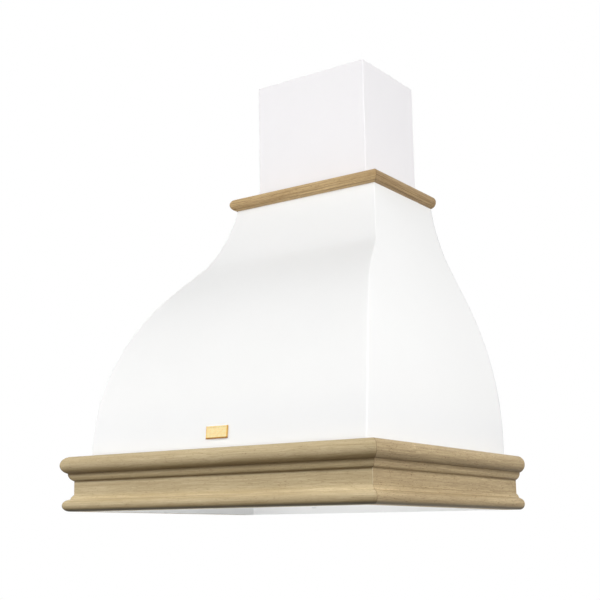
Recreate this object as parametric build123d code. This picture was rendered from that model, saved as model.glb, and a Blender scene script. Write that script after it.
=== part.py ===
from build123d import *
import os
from math import asin, cos, radians, sin

# Country style wall hood: a bell of painted sheet steel with a plain chimney, an oak cornice
# mitred round its foot and an oak bullnose round its neck.  Behind the sheets hang the blower,
# its outlet and the controls, and a base plate with two grease filters closes it from below.
#
# Frame: +X right, +Z up, the front faces -Y.  The wall is the plane y = 0, and the origin is
# the middle of the wall face, level with the underside of the cornice.  Sizes are millimetres.
# A value ending in _d is a depth: its distance from the wall, so depth d lies at y = -d.

# ---- overall sizes
overall_width = 600.0
overall_depth = 500.0
chimney_top = 790.0

# ---- clearances
seat_gap = 0.3           # loose seats, keys in their windows, glass in its ring
screw_gap = 0.1          # radial, screw in a drilled sheet
pilot_gap = 0.05         # radial, screw thread in its pilot hole
running_gap = 0.05       # radial, pin or shaft in a bearing
slide_gap = 0.8          # between the two chimney sleeves
badge_gap = 0.05         # flat badge on the slightly bowed front

# ---- cornice
cornice_height = 90.0
board = 19.5             # board behind the frieze
bead_r = 14.5            # top bead
bead_reach = 17.4        # bead beyond the frieze
bead_wrap = 71.0         # degrees the bead runs on below its nose
ovolo_reach = 7.6
ovolo_top = 59.8
ovolo_bulge = 1.7
frieze_top = 49.5
frieze_bottom = 27.0
foot_r = 9.6             # bottom bead
foot_reach = 14.0
foot_wrap = 72.0         # degrees the bead runs on above its nose
cove_reach = 4.2
cove_bottom = 20.2
cove_hollow = 0.7
spline_width = 12.0
spline_thickness = 4.0
spline_height = 40.0

# ---- canopy
sheet = 1.2
canopy_top = 550.0
skirt_bottom = 12.0
lip = 12.0               # turned-in edge that carries the base plate
neck_ledge_x = 31.0      # neck beyond the chimney's sides
neck_ledge_d = 27.3      # neck beyond the chimney's front
# Each flank has a hollow neck, a straight run and a full belly.  The crease ends the hollow and
# the shoulder starts the belly, as (share of the run outward, share of the fall to the cornice).
side_crease = (0.247, 0.238)
side_shoulder = (0.557, 0.414)
side_hollow = 3.8        # depth of the hollow arc
front_crease = (0.222, 0.251)
front_shoulder = (0.4345, 0.353)
front_hollow = 7.5

# ---- neck moulding
moulding_height = 23.0
moulding_width = 30.0
moulding_reach = 10.6    # nose beyond the neck

# ---- chimney
chimney_width = 227.0
chimney_depth = 181.0
sleeve = 1.0             # sleeve sheet
sleeve_bend = 0.6        # inner radius of its corners
chimney_return = 10.0
chimney_foot = 12.0
chimney_foot_length = 100.0
sleeve_lift = 8.0        # lower end of the inner sleeve above the neck, pushed down
sleeve_drop = 2.0        # its upper end below the top of the outer sleeve
bracket_sheet = 1.5
bracket_height = 25.0
bracket_wing = 25.0
bracket_hole_pitch = 150.0
bracket_hole_r = 3.0

# ---- wall fixing
wall_hole_r = 4.0
wall_hole_inset = 34.5   # columns in from the neck's sides
wall_row_z = 60.0        # lower row
wall_row_drop = 90.0     # upper row below the neck

# ---- badge
badge_width = 41.0
badge_height = 20.0
badge_thickness = 2.6
badge_rise = 25.5        # middle above the cornice
badge_bevel = 0.9
badge_border = 2.2
badge_recess = 0.4
badge_stud_r = 1.5
badge_stud = 4.0
badge_stud_pitch = 26.0

# ---- screws
screw_r = 2.0
screw_head_r = 3.8
screw_head = 2.2
screw_bite = 13.0        # thread in wood
cornice_screw_inset = 93.0
cornice_rear_screw_d = 130.0
moulding_screw_inset = 9.0

# ---- base plate and filters
plate = 1.0
base_edge = 33.9         # base plate beside the filters
front_strip = 117.9      # base plate in front of the filters, for lamps and keys
filter_thickness = 9.0
filter_border = 12.0
filter_skin = 1.0        # frame sheet over the mesh
filter_mid_bar = 20.0    # base plate between the two openings
filter_gap = 1.5
filter_rear_gap = 2.5
filter_rear_d = 60.0     # rear edge of the openings
hinge_pin_r = 2.5
hinge_pin_length = 6.0
hook_thickness = 2.0
hook_width = 14.0
hook_height = 12.0
clip_sheet = 0.6
clip_width = 14.0
clip_offset = 60.0
handle_wire_r = 1.8
handle_width = 62.0
handle_length = 30.0
handle_corner = 8.0
handle_drop = 2.6        # pivot below the frame
ear_thickness = 2.0
ear_size = 7.0

# ---- lamps
lamp_inset_x = 71.9
lamp_inset_d = 56.9
lamp_r = 29.5
lamp_rim = 4.5
lamp_flange = 2.0
lamp_wall = 2.2
lamp_height = 32.0
lens_thickness = 2.5
lens_dome = 1.5

# ---- controls
panel_inset = 36.9
panel_width = 146.0
panel_depth = 32.0
panel_flange = 4.0
panel_flange_thickness = 2.0
panel_body = 3.0         # through the base plate
key_pitch = 27.0
key_width = 20.0
key_depth = 16.0
key_stand = 2.5          # below the panel
key_travel = 2.0
key_lip = 1.5
key_stem_r = 3.0
key_stem = 8.0
switch_height = 21.0
switch_foot = 6.0
switch_room = 0.5        # above a pressed key

# ---- blower
collar_r = 74.6
collar_wall = 2.0
collar_height = 58.0
collar_rim = 11.0          # leaves a duct's wall room beside the screw heads
collar_flange = 2.0
flap_height = 27.0       # flap level above the neck
flap_thickness = 1.5
flap_rim_gap = 2.2
flap_pin_r = 1.5
flap_pin_offset = 3.5
knuckle_wall = 1.5
knuckle_half = 60.0
flap_ledge = 3.6
axle_drop = 160.0        # axle below the neck
scroll_width = 150.0
scroll_wall = 2.0
scroll_r_first = 84.0    # at the cut-off
scroll_r_last = 125.0
scroll_cut_off = 80.0    # degrees above the front horizontal
scroll_sweep = 260.0
outlet_flange = 14.0
inlet_gap = 2.0          # inlet mouth inside the blades, radial
inlet_reach_gap = 3.0    # inlet mouth short of the wheel's end ring
inlet_sheet = 1.5
wheel_gap = 10.0         # wheel inside the cut-off, radial
wheel_side_gap = 13.0    # wheel between the scroll's cheeks
wheel_disc = 2.0
blade_band = 12.0        # radial depth of the blades
wheel_boss_r = 12.0
wheel_boss = 8.0
blade_count = 32
blade_thickness = 1.0
motor_r = 45.0
motor_gap = 8.0          # motor beside the wheel's disc
shaft_r = 4.0
shaft_tail = 16.0
shaft_in_motor = 52.0
nut_r = 7.0
nut_thickness = 6.0
spider_thickness = 2.5
spider_arm = 12.0
spider_lap = 12.0        # arms over the cheek beyond the inlet

# ---- control box
box_inset = 96.9
box_rise = 130.8
box_width = 120.0
box_depth = 40.0
box_height = 70.0
box_wall = 2.0
board_thickness = 1.6
board_stand = 6.0
capacitor_r = 12.0
capacitor_length = 50.0
gland_side = 12.7        # gland in from the inner sleeve's side
gland_front = 30.0       # gland in front of the sleeve's feet
gland_r = 6.0
gland_hex_r = 8.0
gland_hex = 5.0

# ---- worked out from the sizes above
frieze_x = overall_width / 2 - bead_reach
frieze_d = overall_depth - bead_reach
skirt_x = frieze_x - board
skirt_d = frieze_d - board
mitre_run = board + bead_reach + 1.0
inner_x = skirt_x - sheet
inner_d = skirt_d - sheet
neck_x = chimney_width / 2 + neck_ledge_x
neck_d = chimney_depth + neck_ledge_d
moulding_x = neck_x + moulding_reach
moulding_d = neck_d + moulding_reach
plate_z = skirt_bottom + sheet            # underside of the base plate
plate_top = plate_z + plate
lamp_x = inner_x - lamp_inset_x
lamp_d = inner_d - lamp_inset_d
panel_d = inner_d - panel_inset
key_xs = [(i - 2) * key_pitch for i in range(5)]
chimney_foot_d = (chimney_depth - chimney_foot_length) / 4
collar_d = chimney_depth / 2
collar_screw_r = collar_r + collar_rim / 2
axle_z = canopy_top - axle_drop
wheel_r = scroll_r_first - wheel_gap
blade_root_r = wheel_r - blade_band
inlet_r = blade_root_r - inlet_gap
wheel_width = scroll_width - 2 * (scroll_wall + wheel_side_gap)
inlet_lip = scroll_wall + wheel_side_gap - inlet_reach_gap
spider_r = inlet_r + spider_lap
motor_start_x = wheel_disc / 2 + motor_gap
gland_x = chimney_width / 2 - 2 * sleeve - slide_gap - gland_side
gland_d = chimney_foot_d + chimney_foot_length + gland_front
far = overall_width + overall_depth       # longer than any piece, for cutting bodies

RIGHT, LEFT = Vector(1, 0, 0), Vector(-1, 0, 0)
OUT = Vector(0, -1, 0)
UP, DOWN = Vector(0, 0, 1), Vector(0, 0, -1)


# ---- small shapes

def at(x, d, z):
    return Vector(x, -d, z)


def block(x0, x1, d0, d1, z0, z1):
    size = Box(x1 - x0, d1 - d0, z1 - z0)
    return Pos((x0 + x1) / 2, -(d0 + d1) / 2, (z0 + z1) / 2) * size


def rod(start, direction, radius, length):
    plane = Plane(origin=start, z_dir=direction)
    return plane * Cylinder(radius, length, align=(Align.CENTER, Align.CENTER, Align.MIN))


def tube(start, direction, outer, inner, length):
    return rod(start, direction, outer, length) - rod(start, direction, inner, length)


def screw(seat, direction, length):
    """Pan head on the seat, thread running on along the direction."""
    head = rod(seat - direction * screw_head, direction, screw_head_r, screw_head)
    head = fillet(head.faces().sort_by(Axis(seat, direction))[0].edges(), screw_head / 2)
    return head + rod(seat, direction, screw_r, length)


def side_by_side(shapes):
    return Compound(children=list(shapes))


def mirrored(shape):
    return mirror(shape, about=Plane.YZ)


def save(name, shape):
    export_step(shape, "parts/" + name + ".step")


# ---- cornice

def cornice_section():
    """Bead, ovolo, flat frieze, cove and foot bead: x is the reach beyond the frieze, y the height."""
    bead = CenterArc((bead_reach - bead_r, cornice_height - bead_r), bead_r, 90, -90 - bead_wrap)
    ovolo = SagittaArc((ovolo_reach, ovolo_top), (0, frieze_top), ovolo_bulge)
    cove = SagittaArc((0, frieze_bottom), (cove_reach, cove_bottom), cove_hollow)
    foot = CenterArc((foot_reach - foot_r, foot_r), foot_r, foot_wrap, -90 - foot_wrap)
    edges = [Line((-board, cornice_height), bead @ 0), bead, Line(bead @ 1, ovolo @ 0), ovolo,
             Line(ovolo @ 1, cove @ 0), cove, Line(cove @ 1, foot @ 0), foot,
             Line(foot @ 1, (-board, 0)), Line((-board, 0), (-board, cornice_height))]
    return make_face(Wire(edges))


def front_mitre(x, d, run):
    """Plan wedge that keeps a front board between its two mitres, from the inner corner (x, d)."""
    outline = Polyline((-x, -d), (x, -d), (x + run, -d - run), (-x - run, -d - run), close=True)
    return extrude(make_face(outline), far, dir=(0, 0, 1))


def side_mitre(x, d, run):
    """Plan wedge that keeps a right side board between the wall and its mitre."""
    outline = Polyline((x, 0), (x + run, 0), (x + run, -d - run), (x, -d), close=True)
    return extrude(make_face(outline), far, dir=(0, 0, 1))


def front_run(section, nose_d):
    """Section swept along the front, its zero reach at depth nose_d."""
    plane = Plane(origin=at(0, nose_d, 0), x_dir=OUT, z_dir=LEFT)
    return extrude(plane * section, far / 2, both=True)


def side_run(section, nose_x):
    """Section swept out from the wall, its zero reach at nose_x."""
    plane = Plane(origin=at(nose_x, 0, 0), x_dir=RIGHT, z_dir=OUT)
    return extrude(plane * section, far / 2)


def spline_body(clearance):
    """Loose tongue across the right front mitre, upright in the frieze."""
    tongue = Box(spline_thickness + 2 * clearance, spline_width + 2 * clearance,
                 spline_height + 2 * clearance)
    middle_z = (frieze_top + frieze_bottom) / 2
    return Pos(skirt_x + board / 2, -skirt_d - board / 2, middle_z) * (Rot(0, 0, -45) * tongue)


def cornice_screws():
    """Seats on the inner face of the skirt, and the way each screw runs."""
    z = (frieze_top + frieze_bottom) / 2
    side_x = skirt_x - cornice_screw_inset
    depths = (cornice_rear_screw_d, skirt_d - cornice_screw_inset)
    front = [(at(x, inner_d, z), OUT) for x in (-side_x, 0, side_x)]
    right = [(at(inner_x, d, z), RIGHT) for d in depths]
    left = [(at(-inner_x, d, z), LEFT) for d in depths]
    return front + right + left


def holes(places, radius, length):
    return [rod(seat, direction, radius, length) for seat, direction in places]


def cornice():
    section = cornice_section()
    tongue_slot = spline_body(pilot_gap)
    pilots = holes(cornice_screws(), screw_r + pilot_gap, sheet + screw_bite + pilot_gap)
    front = front_run(section, frieze_d) & front_mitre(skirt_x, skirt_d, mitre_run)
    front = front - pilots - tongue_slot - mirrored(tongue_slot)
    right = side_run(section, frieze_x) & side_mitre(skirt_x, skirt_d, mitre_run)
    left = mirrored(right) - pilots - mirrored(tongue_slot)
    right = right - pilots - tongue_slot
    save("cornice_front", front)
    save("cornice_right", right)
    save("cornice_left", left)
    save("cornice_splines", side_by_side([spline_body(0), mirrored(spline_body(0))]))
    screws = [screw(seat, way, sheet + screw_bite) for seat, way in cornice_screws()]
    save("cornice_screws", side_by_side(screws))


# ---- canopy

def bell_curve(skirt, neck, crease_share, shoulder_share, hollow_depth):
    """Edges of one flank, from the skirt up: a full belly, a straight run, a hollow neck."""
    foot, top = Vector(skirt, cornice_height), Vector(neck, canopy_top)
    run, fall = skirt - neck, canopy_top - cornice_height
    crease = top + Vector(run * crease_share[0], -fall * crease_share[1])
    shoulder = top + Vector(run * shoulder_share[0], -fall * shoulder_share[1])
    belly = TangentArc(shoulder, foot, tangent=shoulder - crease)
    hollow = SagittaArc(crease, top, hollow_depth)
    # Straight leads past both ends keep the inset copies of the curve true up to the ends.
    lead = 25.0
    return [Line(foot - Vector(0, cornice_height + lead), foot), belly, Line(shoulder, crease),
            hollow, Line(top, top + (hollow % 1) * lead)]


def side_flank():
    """Right flank in the front view, x across and z up."""
    return bell_curve(skirt_x, neck_x, side_crease, side_shoulder, side_hollow)


def front_flank():
    """Front flank in the side view, depth across and z up."""
    return bell_curve(skirt_d, neck_d, front_crease, front_shoulder, front_hollow)


def flank_face(edges, back):
    """Area from the flank back to the upright line x = back."""
    low, high = edges[0] @ 0, edges[-1] @ 1
    closing = [Line(high, (back, high.Y)), Line((back, high.Y), (back, low.Y)), Line((back, low.Y), low)]
    return make_face(Wire(edges + closing))


def width_body(inset):
    """Everything between the two side flanks, drawn in by the inset."""
    half = offset(flank_face(side_flank(), -inset - 50), -inset, kind=Kind.INTERSECTION)
    plane = Plane(origin=at(0, -50, 0), x_dir=RIGHT, z_dir=OUT)
    right = extrude(plane * half, far)
    right = right & block(0, far, -60, far, -far, far)
    return right + mirrored(right)


def depth_body(inset):
    """Everything behind the front flank, drawn in by the inset."""
    profile = offset(flank_face(front_flank(), -60), -inset, kind=Kind.INTERSECTION)
    plane = Plane(origin=at(0, 0, 0), x_dir=OUT, z_dir=LEFT)
    return extrude(plane * profile, far / 2, both=True)


def badge_plane():
    """Plane on the front sheet behind the badge, z_dir along the sheet's outward normal."""
    belly = front_flank()[1]
    lean = asin((cornice_height + badge_rise - belly.arc_center.Y) / belly.radius)
    seat = belly.arc_center + Vector(cos(lean), sin(lean)) * belly.radius
    return Plane(origin=at(0, seat.X, seat.Y), x_dir=RIGHT, z_dir=Vector(0, -cos(lean), sin(lean)))


def badge_studs(radius):
    """Two studs on the badge's back that pass through the front sheet."""
    plane = badge_plane().offset(badge_gap)
    stud = Cylinder(radius, badge_stud, align=(Align.CENTER, Align.CENTER, Align.MAX))
    return [plane * (Pos(x, 0, 0) * stud) for x in (-badge_stud_pitch / 2, badge_stud_pitch / 2)]


def badge():
    plane = badge_plane().offset(badge_gap)
    body = Box(badge_width, badge_height, badge_thickness, align=(Align.CENTER, Align.CENTER, Align.MIN))
    body = chamfer(body.faces().sort_by(Axis.Z)[-1].edges(), badge_bevel)
    field = Box(badge_width - 2 * badge_border, badge_height - 2 * badge_border, badge_recess,
                align=(Align.CENTER, Align.CENTER, Align.MAX))
    body = body - Pos(0, 0, badge_thickness) * field
    plate_and_studs = plane * body
    for stud in badge_studs(badge_stud_r):
        plate_and_studs = plate_and_studs + stud
    save("badge_plate", plate_and_studs)


def base_screws():
    """Seats under the turned-in lips, driven up through the lip and the base plate."""
    edge_x, edge_d = inner_x - lip / 2, inner_d - lip / 2
    x0, x1, d0, d1 = opening_limits()
    middle_x, third = (x0 + x1) / 2, (d1 - d0) / 3
    front = [(at(x, edge_d, skirt_bottom), UP) for x in (-middle_x, middle_x)]
    rear = [(at(x, sheet + lip / 2, skirt_bottom), UP) for x in (-middle_x, middle_x)]
    sides = [(at(x, d, skirt_bottom), UP) for x in (-edge_x, edge_x) for d in (d0 + third, d1 - third)]
    return front + rear + sides


def canopy():
    outer_w, inner_w = width_body(0), width_body(sheet)
    outer_f, inner_f = depth_body(0), depth_body(sheet)
    height = block(-far, far, sheet, far, skirt_bottom, canopy_top)
    lip_top = skirt_bottom + sheet
    drilled = holes(cornice_screws(), screw_r + screw_gap, sheet)
    lip_holes = holes(base_screws(), screw_r + screw_gap, sheet)

    front = (outer_f - inner_f) & outer_w & height
    front = front + block(-inner_x, inner_x, inner_d - lip, inner_d, skirt_bottom, lip_top)
    front = front - drilled - lip_holes - badge_studs(badge_stud_r + pilot_gap)

    right = (outer_w - inner_w) & inner_f & height & block(0, far, 0, far, 0, far)
    right = right + block(inner_x - lip, inner_x, sheet, inner_d - lip, skirt_bottom, lip_top)
    left = mirrored(right) - drilled - lip_holes
    right = right - drilled - lip_holes

    save("canopy_front", front)
    save("canopy_right", right)
    save("canopy_left", left)
    back_panel(outer_w, lip_holes)
    top_plate(inner_w & inner_f)


def wall_holes():
    rows = (wall_row_z, canopy_top - wall_row_drop)
    columns = (wall_hole_inset - neck_x, neck_x - wall_hole_inset)
    return [rod(at(x, 0, z), OUT, wall_hole_r, sheet) for x in columns for z in rows]


def back_panel(outer_w, lip_holes):
    panel = outer_w & block(-far, far, 0, sheet, 0, canopy_top)
    ledge = block(-inner_x + lip, inner_x - lip, sheet, sheet + lip, skirt_bottom, skirt_bottom + sheet)
    save("back_panel", panel + ledge - wall_holes() - lip_holes)


def collar_screws():
    """Seats on the collar's flange: driven down through flange, neck plate and blower flange."""
    seat_z = canopy_top + collar_flange
    sides = [(at(x, collar_d, seat_z), DOWN) for x in (-collar_screw_r, collar_screw_r)]
    ends = [(at(0, collar_d + r, seat_z), DOWN) for r in (-collar_screw_r, collar_screw_r)]
    return sides + ends


def moulding_screws():
    """Seats under the neck plate, driven up into the moulding."""
    seat_z = canopy_top - sheet
    edge_x = moulding_x - moulding_width + moulding_screw_inset
    edge_d = moulding_d - moulding_width + moulding_screw_inset
    sides = [(at(x, d, seat_z), UP) for x in (-edge_x, edge_x) for d in (edge_d / 4, edge_d * 3 / 4)]
    return sides + [(at(x, edge_d, seat_z), UP) for x in (-edge_x / 2, edge_x / 2)]


def chimney_screws():
    """Seats on the feet of the outer sleeve, driven down into the neck plate."""
    foot_x = chimney_width / 2 - sleeve - chimney_foot / 2
    depths = (chimney_foot_d + chimney_foot, chimney_foot_d + chimney_foot_length - chimney_foot)
    return [(at(x, d, canopy_top + sleeve), DOWN) for x in (-foot_x, foot_x) for d in depths]


def top_plate(inside):
    neck = inside & block(-far, far, sheet, far, canopy_top - sheet, canopy_top)
    neck = neck - rod(at(0, collar_d, canopy_top), DOWN, collar_r - collar_wall, sheet)
    neck = neck - holes(collar_screws(), screw_r + screw_gap, collar_flange + sheet)
    neck = neck - holes(moulding_screws(), screw_r + screw_gap, sheet)
    neck = neck - holes(chimney_screws(), screw_r + screw_gap, sleeve + sheet)
    neck = neck - rod(at(gland_x, gland_d, canopy_top), DOWN, gland_r + screw_gap, sheet)
    save("canopy_top_plate", neck)


# ---- neck moulding

def moulding_section():
    """Flat board with a full round nose at x = 0, standing on the neck plate."""
    low, high, nose_r = canopy_top, canopy_top + moulding_height, moulding_height / 2
    nose = ThreePointArc((-nose_r, high), (0, low + nose_r), (-nose_r, low))
    back = Polyline(nose @ 1, (-moulding_width, low), (-moulding_width, high), nose @ 0)
    return make_face(Wire([nose] + list(back.edges())))


def moulding():
    section = moulding_section()
    corner_x, corner_d = moulding_x - moulding_width, moulding_d - moulding_width
    run = moulding_width + 1.0
    pilots = holes(moulding_screws(), screw_r + pilot_gap, sheet + screw_bite + pilot_gap)
    front = front_run(section, moulding_d) & front_mitre(corner_x, corner_d, run)
    right = side_run(section, moulding_x) & side_mitre(corner_x, corner_d, run)
    save("moulding_front", front - pilots)
    save("moulding_left", mirrored(right) - pilots)
    save("moulding_right", right - pilots)
    screws = [screw(seat, way, sheet + screw_bite) for seat, way in moulding_screws()]
    save("moulding_screws", side_by_side(screws))


# ---- chimney

def front_corners(body):
    """The two upright edges farthest from the wall."""
    return body.edges().filter_by(Axis.Z).sort_by(Axis.Y)[:2]


def channel(half_x, front_d, back_d, z0, z1):
    """Upright sleeve bent from one sheet, open towards the wall."""
    body = block(-half_x, half_x, back_d, front_d, z0, z1)
    hollow = block(-half_x + sleeve, half_x - sleeve, back_d - 1, front_d - sleeve, z0, z1)
    return fillet(front_corners(body), sleeve_bend + sleeve) - fillet(front_corners(hollow), sleeve_bend)


def chimney():
    half_x = chimney_width / 2
    lower = channel(half_x, chimney_depth, 0, canopy_top, chimney_top)
    edge = block(half_x - sleeve - chimney_return, half_x - sleeve, 0, sleeve, canopy_top, chimney_top)
    foot = block(half_x - sleeve - chimney_foot, half_x - sleeve, chimney_foot_d,
                 chimney_foot_d + chimney_foot_length, canopy_top, canopy_top + sleeve)
    lower = lower + edge + foot + mirrored(edge) + mirrored(foot)
    lower = lower - holes(chimney_screws(), screw_r + screw_gap, sleeve)
    save("chimney_lower", lower)
    screws = [screw(seat, way, sleeve + sheet + 4) for seat, way in chimney_screws()]
    save("chimney_screws", side_by_side(screws))


def inner_sleeve_half():
    return chimney_width / 2 - sleeve - slide_gap


def bracket_screws():
    """Seats on the outside of the inner sleeve, driven into the bracket's wings."""
    z = chimney_top - sleeve_drop - bracket_height / 2
    seat_x = inner_sleeve_half()
    d = bracket_sheet * 2 + bracket_wing / 2
    return [(at(seat_x, d, z), LEFT), (at(-seat_x, d, z), RIGHT)]


def inner_sleeve():
    half_x = inner_sleeve_half()
    back_d = sleeve + seat_gap
    front_d = chimney_depth - sleeve - slide_gap
    low, high = canopy_top + sleeve_lift, chimney_top - sleeve_drop
    upper = channel(half_x, front_d, back_d, low, high)
    save("chimney_upper", upper - holes(bracket_screws(), screw_r + screw_gap, sleeve))


def chimney_bracket():
    """Strip on the wall that steps round the outer sleeve's returns, with a wing along each side."""
    half_x = inner_sleeve_half() - sleeve
    base_x = chimney_width / 2 - sleeve - chimney_return - 2
    high = chimney_top - sleeve_drop
    low = high - bracket_height
    t = bracket_sheet
    strip = block(-base_x, base_x, 0, t, low, high)
    step = block(base_x - t, half_x, t, 2 * t, low, high)
    wing = block(half_x - t, half_x, 2 * t, 2 * t + bracket_wing, low, high)
    bracket = strip + step + wing + mirrored(step) + mirrored(wing)
    slot_x = bracket_hole_pitch / 2
    for x in (-slot_x, slot_x):
        bracket = bracket - rod(at(x, 0, (low + high) / 2), OUT, bracket_hole_r, t)
    bracket = bracket - holes(bracket_screws(), screw_r + pilot_gap, sleeve + t)
    save("chimney_bracket", bracket)
    # These screws sit in the gap between the sleeves, so their heads are countersunk flat.
    screws = [rod(seat, way, screw_r, sleeve + t + 3) for seat, way in bracket_screws()]
    save("chimney_bracket_screws", side_by_side(screws))


# ---- base plate and filters

def opening_limits():
    """Right-hand filter opening: x0, x1, d0, d1."""
    return filter_mid_bar / 2, inner_x - base_edge, filter_rear_d, inner_d - front_strip


def filter_limits():
    """Right-hand filter, shut: x0, x1, d0, d1."""
    x0, x1, d0, d1 = opening_limits()
    return x0 + filter_gap, x1 - filter_gap, d0 + filter_rear_gap, d1 - filter_gap


def hinge_place():
    """Depth and height of the filter's hinge pins."""
    return filter_limits()[2] + filter_thickness / 2, plate_z + filter_thickness / 2


def base_plate():
    x0, x1, d0, d1 = opening_limits()
    limit_x, limit_d = inner_x - seat_gap, inner_d - seat_gap
    body = block(-limit_x, limit_x, sheet + seat_gap, limit_d, plate_z, plate_top)
    window = block(x0, x1, d0, d1, plate_z, plate_top)
    body = body - window - mirrored(window)
    body = body - block(-panel_width / 2, panel_width / 2, panel_d - panel_depth / 2,
                        panel_d + panel_depth / 2, plate_z, plate_top)
    for x in (-lamp_x, lamp_x):
        body = body - rod(at(x, lamp_d, plate_z), UP, lamp_r + seat_gap, plate)
    body = body - holes(base_screws(), screw_r + pilot_gap, sheet + plate)
    save("base_plate", body)
    screws = [screw(seat, way, sheet + plate + 3) for seat, way in base_screws()]
    save("base_plate_screws", side_by_side(screws))


def handle_place():
    """Centre x, depth and height of the handle's pivot on the right-hand filter."""
    x0, x1, d0, d1 = filter_limits()
    return (x0 + x1) / 2, d1 - filter_border / 2, plate_z - handle_drop


def filter_frame():
    x0, x1, d0, d1 = filter_limits()
    top = plate_z + filter_thickness
    body = block(x0, x1, d0, d1, plate_z, top)
    body = body - block(x0 + filter_border, x1 - filter_border, d0 + filter_border, d1 - filter_border,
                        plate_z, top)
    body = body - block(x0 + filter_skin, x1 - filter_skin, d0 + filter_skin, d1 - filter_skin,
                        plate_z + filter_skin, top - filter_skin)
    pin_d, pin_z = hinge_place()
    lug = filter_skin + hinge_pin_length
    body = body + rod(at(x0 + filter_skin, pin_d, pin_z), LEFT, hinge_pin_r, lug)
    body = body + rod(at(x1 - filter_skin, pin_d, pin_z), RIGHT, hinge_pin_r, lug)
    return body + handle_ears()


def handle_ears():
    """Two lugs under the front border that take the handle's bent ends."""
    x, d, z = handle_place()
    ears = []
    for side in (-1, 1):
        inner = x + side * (handle_width / 2 + seat_gap)
        outer = inner + side * ear_thickness
        ear = block(min(inner, outer), max(inner, outer), d - ear_size / 2, d + ear_size / 2,
                    z - ear_size / 2, plate_z)
        bore = rod(at(x - handle_width, d, z), RIGHT, handle_wire_r + running_gap, 2 * handle_width)
        ears.append(ear - bore)
    return ears


def filter_mesh():
    """Five-layer expanded aluminium pad inside the frame."""
    x0, x1, d0, d1 = filter_limits()
    skin = filter_skin
    return block(x0 + skin, x1 - skin, d0 + skin, d1 - skin,
                 plate_z + skin, plate_z + filter_thickness - skin)


def filter_handle():
    """Wire bail folded back under the mesh, its two ends turned out into the ears."""
    x, d, z = handle_place()
    reach = handle_width / 2 - handle_wire_r
    end = handle_width / 2 + seat_gap + ear_thickness
    path = FilletPolyline(at(x - end, d, z), at(x - reach, d, z), at(x - reach, d - handle_length, z),
                          at(x + reach, d - handle_length, z), at(x + reach, d, z), at(x + end, d, z),
                          radius=[handle_wire_r * 1.1, handle_corner, handle_corner, handle_wire_r * 1.1])
    section = Plane(origin=path @ 0, z_dir=path % 0) * Circle(handle_wire_r)
    return sweep(section, path=path)


def filter_hooks():
    """Upright hooks on the base plate, open at the top, that the hinge pins hang in."""
    x0, x1, d0, d1 = filter_limits()
    pin_d, pin_z = hinge_place()
    hooks = []
    for start in (x0 - filter_gap - seat_gap - hook_thickness, x1 + filter_gap + seat_gap):
        hook = block(start, start + hook_thickness, pin_d - hook_width / 2, pin_d + hook_width / 2,
                     plate_top, plate_top + hook_height)
        seat_r = hinge_pin_r + running_gap
        hook = hook - rod(at(start, pin_d, pin_z), RIGHT, seat_r, hook_thickness)
        hook = hook - block(start, start + hook_thickness, pin_d - seat_r, pin_d + seat_r,
                            pin_z, plate_top + hook_height)
        hooks.append(hook)
    return hooks


def filter_clips():
    """Leaf springs on the base plate whose noses grip the filter's front edge."""
    x0, x1, d0, d1 = filter_limits()
    middle = (x0 + x1) / 2
    nose = d1 + seat_gap
    leaf_d = nose + 4
    z0 = plate_top
    outer = [Line((leaf_d + 8, z0), (leaf_d, z0)), Line((leaf_d, z0), (leaf_d, z0 + 1.5)),
             ThreePointArc((leaf_d, z0 + 1.5), (nose, z0 + 4.5), (leaf_d, z0 + 7.5)),
             Line((leaf_d, z0 + 7.5), (leaf_d, z0 + 9))]
    leaf = offset(Wire(outer), clip_sheet, side=Side.RIGHT, closed=True)
    profile = make_face(leaf)
    clips = []
    for x in (middle - clip_offset, middle + clip_offset):
        plane = Plane(origin=at(x, 0, 0), x_dir=OUT, z_dir=LEFT)
        clips.append(extrude(plane * profile, clip_width / 2, both=True))
    return clips


def filters():
    mesh, handle = filter_mesh(), filter_handle()
    frame = filter_frame()
    save("filter_frame_right", frame)
    save("filter_frame_left", mirrored(frame))
    save("filter_mesh_right", mesh)
    save("filter_mesh_left", mirrored(mesh))
    save("filter_handle_right", handle)
    save("filter_handle_left", mirrored(handle))
    hooks, clips = filter_hooks(), filter_clips()
    save("filter_hooks", side_by_side(hooks + [mirrored(hook) for hook in hooks]))
    save("filter_clips", side_by_side(clips + [mirrored(clip) for clip in clips]))


# ---- lamps

def lamp_housing(x):
    low = plate_z - lamp_flange
    bore_r = lamp_r - lamp_wall
    cup = rod(at(x, lamp_d, low), UP, lamp_r, lamp_flange + lamp_height)
    cup = cup + rod(at(x, lamp_d, low), UP, lamp_r + lamp_rim, lamp_flange)
    return cup - rod(at(x, lamp_d, low), UP, bore_r, lamp_flange + lamp_height - lamp_wall)


def lamp_lens(x):
    """Frosted glass, flat inside and slightly domed below."""
    lens_r = lamp_r - lamp_wall - seat_gap
    low = plate_z - lamp_flange
    dome = ThreePointArc((-lens_r, low), (0, low - lens_dome), (lens_r, low))
    rest = Polyline((lens_r, low), (lens_r, low + lens_thickness), (-lens_r, low + lens_thickness),
                    (-lens_r, low))
    profile = make_face(Wire([dome] + list(rest.edges()))) & Pos(lens_r, low) * Rectangle(2 * lens_r, 50)
    glass = revolve(Plane.XZ * profile, axis=Axis.Z)
    return Pos(x, -lamp_d, 0) * glass


def lamps():
    for side, x in (("left", -lamp_x), ("right", lamp_x)):
        save("lamp_housing_" + side, lamp_housing(x))
        save("lamp_lens_" + side, lamp_lens(x))


# ---- controls

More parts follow.
